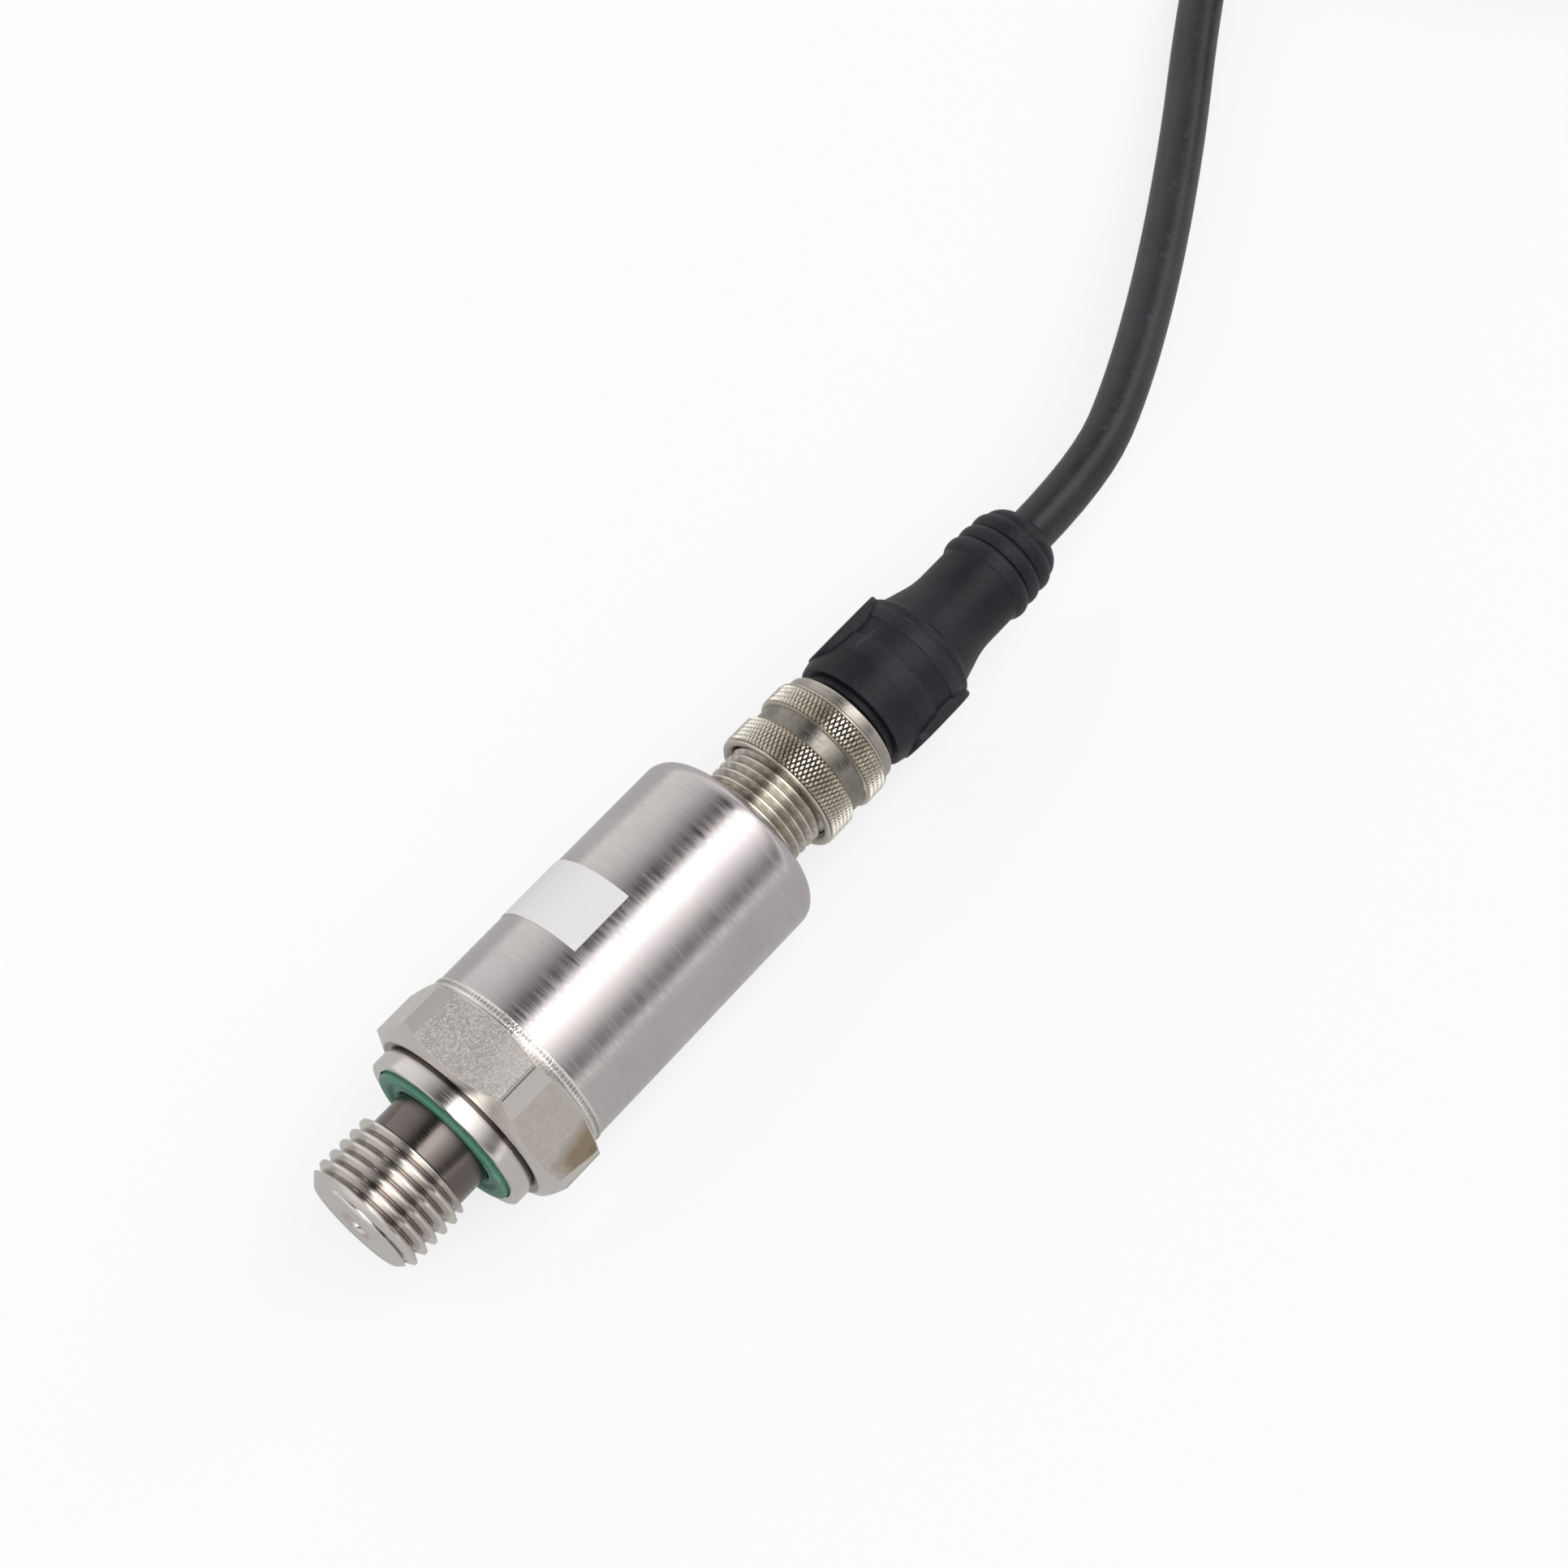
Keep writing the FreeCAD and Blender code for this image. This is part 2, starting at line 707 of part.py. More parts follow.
def connector_body():
    """Moulding over the socket's stem and the cable: grip, taper, neck, ribs and rounded end."""
    r = body_d / 2
    hub = hub_d / 2
    stem = socket_stem_d / 2 + overmould_gap
    x_stem_end = x_socket_stem + socket_stem_l + overmould_gap
    neck = neck_end_d / 2
    floor = r - body_groove
    x0 = x_body_front
    x_taper = x0 + grip_l
    body = turned((x0 - hub_l, stem), [
        (x0 - hub_l, hub),
        (x0, hub),
        (x0, r - body_swell - body_bevel),
        (x0 + body_bevel, r - body_swell),
        (x0 + body_full, r),
        (x0 + band_start, r),
        (x0 + band_start, floor),
        (x0 + band_end, floor),
        (x0 + band_end, r),
        (x0 + step_start, r),
        (x0 + step_start, floor),
        (x_taper, floor),
        (x_taper + taper_bevel_l, floor - taper_bevel),
        (x0 + taper_l, neck),
        (x_body_end - end_round_l, neck - neck_draft),
        (x_body_end - end_bevel_l, neck - neck_draft - end_round),
        (x_body_end, cable_r + cable_collar),
        (x_body_end, 0),
        (x_stem_end, 0),
        (x_stem_end, stem),
    ])
    for i in range(rib_count):
        middle = x0 + neck_l + rib_w / 2 + i * rib_pitch
        body = body.fuse(rib(middle, neck + rib_rise - i * rib_fall))
    for turn in (0, 180):
        pad = grip_pad()
        pad.rotate(V(0, 0, 0), AXIS, pad_turn + turn)
        body = body.fuse(pad.cut(rod(x0, x_taper, r - pad_root)))
    return body.removeSplitter()


def coupling_nut():
    """Screwed over the plug; its shoulder pulls the socket's flange up to the seal."""
    bore = plug_d / 2 + nut_thread_gap
    r = bore + nut_wall
    groove = r - nut_groove_depth
    neck = socket_stem_d / 2 + nut_neck_gap
    rim = r - rim_step
    x_groove = x_nut + knurl_1_l
    x_knurl = x_groove + groove_l
    x_rim = x_knurl + knurl_2_l
    return turned((x_nut, bore + nut_lead_in), [
        (x_nut, r - nut_bevel[1]),
        (x_nut + nut_bevel[0], r),
        (x_groove, r),
        (x_groove + nut_step, groove),
        (x_knurl - nut_step, groove),
        (x_knurl, r - knurl_2_step),
        (x_rim, r - knurl_2_step),
        (x_rim + nut_slope, rim + rim_draft),
        (x_nut_end - rim_bevel[0], rim),
        (x_nut_end, rim - rim_bevel[1]),
        (x_nut_end, neck),
        (x_nut_shoulder, neck),
        (x_nut_shoulder, bore),
        (x_nut + nut_lead_in, bore),
    ])


# --- cable ---
def path_wire(points, report=None):
    """Straight runs joined by tangent arcs, each as large as its two runs allow."""
    edges = []
    here = points[0]
    for before, at, after in zip(points, points[1:], points[2:]):
        run_in = at - before
        run_out = after - at
        turn = run_in.getAngle(run_out)
        cut = 0.45 * min(run_in.Length, run_out.Length)
        if report is not None:
            report.append(cut / math.tan(turn / 2))
        u = V(run_in).normalize()
        w = V(run_out).normalize()
        start = at - u * cut
        end = at + w * cut
        bisector = (w - u).normalize()
        radius = cut / math.tan(turn / 2)
        centre = at + bisector * (radius / math.cos(turn / 2))
        middle = centre - bisector * radius
        edges.append(Part.LineSegment(here, start).toShape())
        edges.append(Part.Arc(start, middle, end).toShape())
        here = end
    edges.append(Part.LineSegment(here, points[-1]).toShape())
    return Part.Wire(edges)


def tube(points, radius, report=None):
    path = path_wire(points, report)
    first = V(points[1] - points[0]).normalize()
    section = Part.Wire(Part.makeCircle(radius, points[0], first))
    return path.makePipeShell([section], True, False)


def coil_start():
    """Where the coil's lowest, widest turn begins its first straight stretch."""
    return route[-1] + V(entry_stub, 0, 0)


def coil_centre():
    """Middle of the coil's rounded end beside its start."""
    start = coil_start()
    return V(start.x, start.y - coil_outer_r, 0)


def last_half_turn():
    """The cable climbs onto the other turns while it goes round the coil's end once more."""
    centre = coil_centre()
    low = route[-1].z + coil_layer * (coil_layers - 1)
    climb = coil_exit[0].z - coil_layer * (coil_layers - 1)
    half_step = math.pi / len(coil_climb) / 2
    corner_r = coil_outer_r / math.cos(half_step)
    points = [centre + V(corner_r * math.sin(half_step), -coil_outer_r, low)]
    for number, share in enumerate(coil_climb):
        angle = -math.pi / 2 - half_step * (2 * number + 1)
        height = low + climb * share
        points.append(centre + V(corner_r * math.cos(angle), corner_r * math.sin(angle), height))
    return points


def coil_section(extra):
    """Bevelled outline of the wound bundle: turns side by side, in layers."""
    reach = cable_r + coil_skin + extra
    low = route[-1].z
    high = low + coil_layer * (coil_layers - 1)
    half = coil_pitch * (coil_columns - 1) / 2
    bevel = reach * math.tan(math.pi / 8)
    side = [
        (half + bevel, low - reach),
        (half + reach, low - bevel),
        (half + reach, high + bevel),
        (half + bevel, high + reach),
    ]
    points = [V(coil_mean_r + x, 0, z) for x, z in side]
    points += [V(coil_mean_r - x, 0, z) for x, z in reversed(side)]
    return Part.makePolygon(points + points[:1])


def cable_coil():
    """Long coil: two rounded ends joined by straight stretches, with the cable's way in and out."""
    face = Part.Face(coil_section(0))
    far_end = face.revolve(V(0, 0, 0), V(0, 0, 1), 180)
    far_end.rotate(V(0, 0, 0), V(0, 0, 1), -90)
    near_end = far_end.copy()
    near_end.rotate(V(0, 0, 0), V(0, 0, 1), 180)
    far_end.translate(V(coil_run, 0, 0))
    sides = []
    for turn in (90, 270):
        side = face.copy()
        side.rotate(V(0, 0, 0), V(0, 0, 1), turn)
        sides.append(side.extrude(V(coil_run, 0, 0)))
    ring = near_end.fuse([far_end] + sides)
    ring.translate(coil_centre())
    way_in = Part.makeCylinder(cable_r, entry_stub, route[-1], AXIS)
    way_out = tube(last_half_turn() + on_coil(coil_exit), cable_r)
    return ring.fuse([way_in, way_out]).removeSplitter()


def on_coil(points):
    """Points measured from the coil's start, in the finished part's own frame."""
    return [coil_start() + point for point in points]


def cable_tie(along, degrees):
    """Strap round the bundle with its square head on top."""
    outer = Part.Face(coil_section(tie_gap + tie_t))
    inner = Part.Face(coil_section(tie_gap))
    strap = outer.cut(inner).extrude(V(0, tie_w, 0))
    strap.translate(V(0, -tie_w / 2, 0))
    top = strap.BoundBox.ZMax
    half = tie_head / 2
    x0 = coil_mean_r - half
    head = block(x0, x0 + tie_head, -half, half, top - tie_t / 2, top + tie_head_h)
    z0 = top + tie_head_h / 2
    end = block(x0 + tie_head / 2, x0 + tie_head + tie_end_l, -tie_w / 2, tie_w / 2, z0, z0 + tie_t)
    tie = strap.fuse([head, end]).removeSplitter()
    tie.rotate(V(0, 0, 0), V(0, 0, 1), degrees)
    tie.translate(coil_centre() + V(along * coil_run, 0, 0))
    return tie


def core_line(index):
    """Start and end of one of the four cores that fan out of the cable's stripped end."""
    points = on_coil(tail)
    ahead = V(points[-1] - points[-2]).normalize()
    side = V(0, 0, 1).cross(ahead)
    spread = index - 1.5
    start = points[-1] + ahead * core_gap + side * (spread * core_pitch) - V(0, 0, core_drop)
    turns_top = route[-1].z + coil_layer * (coil_layers - 1) + cable_r + coil_skin
    end = points[-1] + ahead * core_l + side * (spread * core_fan)
    end.z = turns_top + core_rest + core_d / 2
    return start, end


def core_wire(index):
    start, end = core_line(index)
    return Part.makeCylinder(core_d / 2, (end - start).Length, start, end - start)


def core_ferrule(index):
    """Crimped tube on a core's bare end."""
    start, end = core_line(index)
    return Part.makeCylinder(ferrule_d / 2, ferrule_l, end, end - start)


# --- build ---
os.makedirs("parts", exist_ok=True)

save("process_connection", process_connection())
save("seal_ring", seal_ring())
save("cell_seal", cell_seal())
save("ceramic_cell", ceramic_cell())
save("clamp_ring", clamp_ring())
save("cell_leads", cell_leads())
save("weld_seam", weld_seam())
save("housing", housing())
save("label", label())
save("board_holder", board_holder())
save("circuit_board", circuit_board())
save("amplifier_chip", on_board(amplifier_x, 0, *amplifier_size))
save("output_chip", on_board(output_x, 0, *output_size))
save("chip_capacitors", chip_capacitors())
save("chip_resistors", chip_resistors())
save("plug_sleeve", plug_sleeve())
save("plug_seal", plug_seal())
save("plug_insert", plug_insert())
save("plug_leads", plug_leads())
save("socket_insert", socket_insert())
save("socket_seal", socket_seal())
save("connector_body", connector_body())
save("coupling_nut", coupling_nut())
for number, (y, z) in enumerate(pin_places(), 1):
    save("plug_pin_%d" % number, plug_pin(y, z))
    save("socket_contact_%d" % number, socket_contact(y, z))

radii = []
lying = tube(route, cable_r, radii)
save("cable", lying, lay=False)
save("cable_coil", cable_coil(), lay=False)
tail_radii = []
lying_end = tube(on_coil(tail), cable_r, tail_radii)
save("cable_tail", lying_end, lay=False)
for number, (along, degrees) in enumerate(tie_places, 1):
    save("cable_tie_%d" % number, cable_tie(along, degrees), lay=False)
for number, colour in enumerate(core_colours):
    save("core_" + colour, core_wire(number), lay=False)
ferrules = [core_ferrule(number) for number in range(len(core_colours))]
save("core_ferrules", Part.Compound(ferrules), lay=False)

section = math.pi * cable_r * cable_r
for name, solid, points, found in (
    ("cable", lying, route, radii),
    ("tail", lying_end, on_coil(tail), tail_radii),
):
    length = path_wire(points).Length
    print(name, "bend radii", [round(r, 1) for r in found])
    print(name, "length", round(length, 1), "volume ratio", round(solid.Volume / (section * length), 4))
print("coil centre", [round(c, 2) for c in coil_centre()])
turns = range(coil_columns)
around = sum(2 * math.pi * (coil_fold_r + coil_pitch * turn) + 2 * coil_run for turn in turns)
wound = around * coil_layers + entry_stub
wound -= math.pi * coil_outer_r
exit_radii = []
on_top = path_wire(last_half_turn() + on_coil(coil_exit), exit_radii).Length
print("last half turn bend radii", [round(r, 1) for r in exit_radii])
whole = path_wire(route).Length + wound + on_top + path_wire(on_coil(tail)).Length
print("whole cable", round(whole))
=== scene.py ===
import json
import math

import bmesh
import bpy
from mathutils import Matrix, Vector


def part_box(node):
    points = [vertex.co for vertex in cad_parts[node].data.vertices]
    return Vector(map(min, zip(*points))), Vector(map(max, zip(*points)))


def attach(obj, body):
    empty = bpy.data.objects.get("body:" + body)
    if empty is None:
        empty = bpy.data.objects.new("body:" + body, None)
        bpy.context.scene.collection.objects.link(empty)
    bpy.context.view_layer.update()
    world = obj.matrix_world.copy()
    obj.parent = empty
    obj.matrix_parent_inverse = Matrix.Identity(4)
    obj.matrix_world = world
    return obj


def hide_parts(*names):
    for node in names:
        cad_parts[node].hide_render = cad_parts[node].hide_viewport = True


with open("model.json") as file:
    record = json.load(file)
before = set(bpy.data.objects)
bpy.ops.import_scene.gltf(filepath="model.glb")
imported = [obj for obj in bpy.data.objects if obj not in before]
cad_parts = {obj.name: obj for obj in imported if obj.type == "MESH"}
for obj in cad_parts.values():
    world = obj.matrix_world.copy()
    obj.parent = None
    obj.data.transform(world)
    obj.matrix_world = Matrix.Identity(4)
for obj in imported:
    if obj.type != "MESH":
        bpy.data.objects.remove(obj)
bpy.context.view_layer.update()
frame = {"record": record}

# A pressure transmitter lying on one flat of its hexagon, with its cable plugged in.
# Sizes are in millimetres; a station is a distance along the axis from the sealing face.

MM = 0.001
mounts = {mount["name"]: mount for mount in frame["record"]["mounts"]}
FACE = mounts["sealing_face"]["pos_m"][0]
AXIS = mounts["sealing_face"]["pos_m"][2]
THREAD_R = mounts["process_thread"]["dims"]["r_mm"]


def span(node):
    """First and last station of a CAD node, in millimetres from the sealing face."""
    low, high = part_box(node)
    return (low.x - FACE) / MM, (high.x - FACE) / MM


def radius_of(node):
    """Greatest radius of a turned CAD node, in millimetres."""
    low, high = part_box(node)
    return (high.y - low.y) / 2 / MM


def place(station, radius):
    """A point above the axis, in metres."""
    return Vector((FACE + station * MM, 0, AXIS + radius * MM))


# ------------ modelling
SAME_PLACE = 1e-7            # metres: two points this near are the same corner
MERGE = 0.002                # points nearer than this become one
FINE_MERGE = 0.0005
CORNER_STEPS = 2
TURN_STEPS = 144
FINE_TURN_STEPS = 192
ROUND_STEPS = 120
BROKEN = 0.05                # radius of an edge that is only broken


def deselect():
    bpy.ops.object.select_all(action="DESELECT")


def take(piece):
    """Makes the piece the only selected and active one."""
    deselect()
    piece.select_set(True)
    bpy.context.view_layer.objects.active = piece


def edit(piece, whole=True):
    """Opens the piece for editing, with all of it selected or nothing."""
    take(piece)
    bpy.ops.object.mode_set(mode="EDIT")
    bpy.ops.mesh.select_all(action="SELECT" if whole else "DESELECT")
    return bmesh.from_edit_mesh(piece.data)


def select_whole():
    bpy.ops.mesh.select_all(action="SELECT")


def move(way):
    bpy.ops.transform.translate(value=way)


def leave():
    bpy.ops.object.mode_set(mode="OBJECT")


def pick_points(mesh, wanted):
    """Selects only the vertices that the test wants."""
    bpy.ops.mesh.select_all(action="DESELECT")
    bpy.ops.mesh.select_mode(type="VERT")
    for vertex in mesh.verts:
        vertex.select = wanted(vertex.co)
    mesh.select_flush_mode()


def draw(name, outline, closed, spot=place):
    """Draws an outline point by point, above the axis.

    A point is a station and a radius. Where its corner is round, the corner's radius follows,
    and the number of steps round it if that isn't CORNER_STEPS.
    """
    deselect()
    bpy.ops.mesh.primitive_plane_add(size=MM)
    piece = bpy.context.object
    piece.name = name
    piece.data.name = name
    bpy.ops.object.mode_set(mode="EDIT")
    bpy.ops.mesh.select_mode(type="VERT")
    select_whole()
    bpy.ops.mesh.merge(type="CENTER")
    here = spot(*outline[0][:2])
    move(here)
    for point in outline[1:]:
        there = spot(*point[:2])
        bpy.ops.mesh.extrude_vertices_move(TRANSFORM_OT_translate={"value": there - here})
        here = there
    ends = (spot(*outline[0][:2]), here)
    mesh = bmesh.from_edit_mesh(piece.data)
    if closed:
        pick_points(mesh, lambda co: min((co - end).length for end in ends) < SAME_PLACE)
        bpy.ops.mesh.edge_face_add()
    for point in outline:
        if len(point) > 2:
            corner = spot(*point[:2])
            mesh = bmesh.from_edit_mesh(piece.data)
            pick_points(mesh, lambda co: (co - corner).length < SAME_PLACE)
            segments = point[3] if len(point) > 3 else CORNER_STEPS
            bpy.ops.mesh.bevel(offset=point[2] * MM, segments=segments, affect="VERTICES")
    return piece


def clean(piece, merge=MERGE):
    """Merges doubled points and turns all faces outwards."""
    edit(piece)
    bpy.ops.mesh.remove_doubles(threshold=merge * MM)
    bpy.ops.mesh.delete_loose(use_faces=False)
    select_whole()
    bpy.ops.mesh.normals_make_consistent(inside=False)
    leave()
    return piece


def spin(steps, angle):
    bpy.ops.mesh.spin(steps=steps, angle=angle, center=(FACE, 0, AXIS), axis=(1, 0, 0))
    leave()


def lathe(name, outline, steps=TURN_STEPS, closed=True):
    """Turned piece: the outline is spun round the axis."""
    piece = draw(name, outline, closed)
    select_whole()
    spin(steps, math.tau)
    return clean(piece)


def modify(piece, kind, **settings):
    """Adds a modifier to the piece and applies it."""
    take(piece)
    bpy.ops.object.modifier_add(type=kind)
    modifier = piece.modifiers[-1]
    for setting, value in settings.items():
        setattr(modifier, setting, value)
    bpy.ops.object.modifier_apply(modifier=modifier.name)


def combine(piece, tool, how):
    """Cuts the tool out of the piece, or welds it on, and takes the tool away."""
    modify(piece, "BOOLEAN", operation=how, solver="EXACT", object=tool)
    bpy.data.objects.remove(tool)


def join(piece, others):
    take(piece)
    for other in others:
        other.select_set(True)
    bpy.ops.object.join()
    return clean(piece)


def smooth(piece, degrees=35):
    """Shades smooth across edges that turn by less than this."""
    take(piece)
    bpy.ops.object.shade_smooth_by_angle(angle=math.radians(degrees))


def settle(piece, body, finish, nodes=()):
    """Gives the finished piece its body and material, and hides the CAD nodes it stands for."""
    piece.data.materials.clear()
    piece.data.materials.append(finish)
    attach(piece, body)
    if nodes:
        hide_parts(*nodes)
    return piece


def thread_tool(start, end, crest, depth, pitch, flank, root_flat):
    """Closed helical cutter for a right-hand thread, wider than its groove above the crests."""
    below, above, flare = 0.05, 0.04, 0.07
    root_round = 0.04
    steps = 72
    low = crest - depth
    half = root_flat + (depth - below) * math.tan(math.radians(flank))
    section = [
        (start - root_flat, low, root_round),
        (start - half, crest - below),
        (start - half - flare, crest + above),
        (start + half + flare, crest + above),
        (start + half, crest - below),
        (start + root_flat, low, root_round),
    ]
    tool = draw("thread_tool", section, True)
    select_whole()
    move((-FACE, 0, -AXIS))
    leave()
    turns = math.ceil((end - start) / pitch)
    modify(
        tool, "SCREW", axis="X", steps=steps, render_steps=steps, screw_offset=pitch * MM,
        iterations=turns, use_merge_vertices=False,
    )
    edit(tool)
    bpy.ops.mesh.fill_holes(sides=0)
    move((FACE, 0, AXIS))
    leave()
    return clean(tool, FINE_MERGE)


# ------------ process side
STUD_END, SPIGOT_END = span("process_connection")
HEX_R = radius_of("process_connection")
HOUSING_END = span("housing")[1]
HOUSING_R = radius_of("housing")
SEAL_X, SEAL_BACK = span("seal_ring")
SEAL_R = radius_of("seal_ring")
SEAL_GAP = 0.15
NECK_R = 5.65
HEX_START = 2.25
HEX_END = 9.3
WELD_ROOT_X = 9.85           # where hexagon and housing meet under the weld
WELD_ROOT_R = 10.02
HOUSING_WALL = 1.3
END_WALL_X = HOUSING_END - 2.4


def hexagon_waste():
    """Ring with a hexagonal hole: what is milled off the bar outside the hexagon."""
    deselect()
    turned_upright = (0, math.pi / 2, 0)
    past_corners = 1.5
    centre = (FACE + HEX_START * MM, 0, AXIS)
    bpy.ops.mesh.primitive_circle_add(
        vertices=6, radius=HEX_R * MM, location=centre, rotation=turned_upright,
    )
    waste = bpy.context.object
    bpy.ops.object.transform_apply()
    edit(waste)
    bpy.ops.mesh.extrude_region_move()
    bpy.ops.transform.resize(value=(1, past_corners, past_corners), center_override=centre)
    select_whole()
    depth = (HEX_END - HEX_START) * MM
    bpy.ops.mesh.extrude_region_move(TRANSFORM_OT_translate={"value": (depth, 0, 0)})
    leave()
    return clean(waste)


def frame_flats(piece):
    """Gives each flat a narrow border, so that wear keeps to its edges."""
    border = 0.12
    smallest = 8 * MM * MM
    level = 0.01
    mesh = edit(piece, False)
    bpy.ops.mesh.select_mode(type="FACE")
    for face in mesh.faces:
        face.select = abs(face.normal.x) < level and face.calc_area() > smallest
    bpy.ops.mesh.inset(thickness=border * MM, use_individual=True)
    leave()


def process_connection(finish):
    """Stud, neck, collar and hexagon turned from one bar, with the cell's pocket behind them."""
    port_r, port_flare = 1.5, 0.4
    tip_r, tip_round = 5.4, 0.12
    thread_end, neck_start = -4.2, -3.95
    run_out_round, neck_round = 0.12, 0.1
    recess_r = SEAL_R + SEAL_GAP
    collar_r, collar_end, collar_round = 9.5, 1.95, 0.2
    collar_neck_r, collar_edge = 9.0, 0.08
    lower_r, lower_slope, upper_slope = 10.2, 28, 30
    seat_x = 9.35
    spigot_r, spigot_round = 9.35, 0.3
    ring_r, ring_x = 8.75, 10.3
    pocket_r, pocket_x = 8.15, 4.4
    cut_from, cut_to = STUD_END - 1.0, -3.9
    over = HEX_R + 0.6
    lower_run = (over - lower_r) * math.tan(math.radians(lower_slope))
    upper_run = (over - HOUSING_R) * math.tan(math.radians(upper_slope))
    piece = lathe("turned_connection", [
        (STUD_END, port_r + port_flare, BROKEN),
        (STUD_END, tip_r, tip_round),
        (STUD_END + THREAD_R - tip_r, THREAD_R),
        (thread_end, THREAD_R),
        (neck_start, NECK_R, run_out_round),
        (SEAL_BACK, NECK_R, neck_round),
        (SEAL_BACK, recess_r),
        (0, recess_r, BROKEN),
        (0, collar_r, collar_round, 3),
        (collar_end, collar_r, collar_edge),
        (collar_end, collar_neck_r),
        (HEX_START, collar_neck_r),
        (HEX_START, lower_r, BROKEN),
        (HEX_START + lower_run, over),
        (HEX_END - upper_run, over),
        (HEX_END, HOUSING_R, BROKEN),
        (seat_x, HOUSING_R, BROKEN),
        (WELD_ROOT_X, WELD_ROOT_R),
        (WELD_ROOT_X, spigot_r),
        (SPIGOT_END, spigot_r, spigot_round),
        (SPIGOT_END, ring_r),
        (ring_x, ring_r),
        (ring_x, pocket_r),
        (pocket_x, pocket_r),
        (pocket_x, port_r),
        (STUD_END + port_flare, port_r, BROKEN),
    ])
    combine(piece, hexagon_waste(), "DIFFERENCE")
    frame_flats(piece)
    cutter = thread_tool(cut_from, cut_to, THREAD_R, depth=0.83, pitch=1.337, flank=27.5, root_flat=0.1)
    combine(piece, cutter, "DIFFERENCE")
    smooth(piece)
    return settle(piece, "transmitter", finish, ["process_connection"])


def seal_ring(finish):
    """Profile seal, whose inner lip stands up beside a hollow."""
    inner = NECK_R + SEAL_GAP
    lip, hollow, land = inner + 0.4, inner + 0.85, inner + 1.35
    foot_depth, lip_depth, hollow_depth = 0.4, 0.12, 0.42
    edge, bend, rim = 0.1, 0.15, 0.25
    piece = lathe("profile_seal", [
        (SEAL_X + foot_depth, inner, edge),
        (SEAL_X + lip_depth, lip, bend, 4),
        (SEAL_X + hollow_depth, hollow, bend, 4),
        (SEAL_X, land, bend, 4),
        (SEAL_X, SEAL_R, rim, 4),
        (SEAL_BACK, SEAL_R, edge),
        (SEAL_BACK, inner, edge),
    ], steps=128)
    smooth(piece, degrees=50)
    return settle(piece, "transmitter", finish, ["seal_ring"])


def weld_seam(finish):
    """Laser-welded bead: a low crown whose rings are raised in turn, so that it ripples."""
    start, end = span("weld_seam")
    crown = HOUSING_R + 0.055
    ripples, ripple_height = 150, 0.08
    root, root_r = start + 0.5, 10.05
    foot = HOUSING_R - 0.03
    toe, toe_r = 0.1, HOUSING_R + 0.02
    shoulder, shoulder_r = 0.3, crown - 0.02
    margin = 0.05
    piece = lathe("weld_bead", [
        (root, root_r),
        (start, foot),
        (start + toe, toe_r),
        (start + shoulder, shoulder_r),
        (root, crown - 0.03),
        (end - shoulder, shoulder_r),
        (end - toe, toe_r),
        (end, foot),
    ], steps=ripples * 2)
    mesh = edit(piece, False)
    step = math.pi / ripples

    def on_crest(co):
        turn = math.atan2(co.y, co.z - AXIS) / step
        inside = start + margin < (co.x - FACE) / MM < end - margin
        return inside and round(turn) % 2 == 0 and math.hypot(co.y, co.z - AXIS) > HOUSING_R * MM
    pick_points(mesh, on_crest)
    share = 1 + ripple_height / HOUSING_R
    bpy.ops.transform.resize(value=(1, share, share), center_override=(FACE, 0, AXIS))
    leave()
    smooth(piece, degrees=60)
    return settle(piece, "transmitter", finish, ["weld_seam"])


def housing(finish):
    """Drawn tube with a well-rounded end and a hole for the plug."""
    bore_r, bevel_end = HOUSING_R - HOUSING_WALL, 10.35
    hole_r, hole_round = 6.1, 0.08
    end_round, inside_round = 2.2, 0.5
    piece = lathe("drawn_housing", [
        (WELD_ROOT_X, bore_r),
        (WELD_ROOT_X, WELD_ROOT_R),
        (bevel_end, HOUSING_R, BROKEN),
        (HOUSING_END, HOUSING_R, end_round, 14),
        (HOUSING_END, hole_r, hole_round),
        (END_WALL_X, hole_r),
        (END_WALL_X, bore_r, inside_round, 4),
    ], steps=FINE_TURN_STEPS)
    smooth(piece)
    return settle(piece, "transmitter", finish, ["housing"])


def label(finish):
    """Blank type plate: a thin section spun over part of the way round."""
    first_edge, last_edge = -80.0, 94.7     # degrees
    glue, foil = 0.02, 0.08
    start, end = span("label")
    inner = HOUSING_R + glue
    outer = inner + foil
    piece = draw("type_plate", [(start, inner), (start, outer), (end, outer), (end, inner)], True)
    select_whole()
    bpy.ops.mesh.edge_face_add()
    bpy.ops.transform.rotate(
        value=math.radians(90 - first_edge), orient_axis="X", center_override=(FACE, 0, AXIS),
    )
    spin(ROUND_STEPS, -math.radians(last_edge - first_edge))
    clean(piece)
    smooth(piece)
    return settle(piece, "transmitter", finish, ["label"])


# ------------ plug and nut
SLEEVE_R = 5.95
SLEEVE_X, RIM = span("plug_sleeve")
NUT_X, NUT_END = span("coupling_nut")
NUT_R = radius_of("coupling_nut")
KNURL_COLUMNS = 88


def plug_sleeve(finish):
    """Threaded sleeve of the round plug, with its flange behind the housing's end wall."""
    bore, flange, chamfer = 4.35, 7.6, 0.5
    cut_from, cut_to = HOUSING_END - 1.46, RIM + 1.0
    piece = lathe("threaded_sleeve", [
        (SLEEVE_X, bore),
        (SLEEVE_X, flange),
        (END_WALL_X, flange),
        (END_WALL_X, SLEEVE_R),
        (RIM - chamfer, SLEEVE_R),
        (RIM, SLEEVE_R - chamfer, BROKEN),
        (RIM, bore, BROKEN),
    ], steps=ROUND_STEPS)
    cutter = thread_tool(cut_from, cut_to, SLEEVE_R, depth=0.58, pitch=1.0, flank=30, root_flat=0.06)
    combine(piece, cutter, "DIFFERENCE")
    smooth(piece)
    return settle(piece, "transmitter", finish, ["plug_sleeve"])


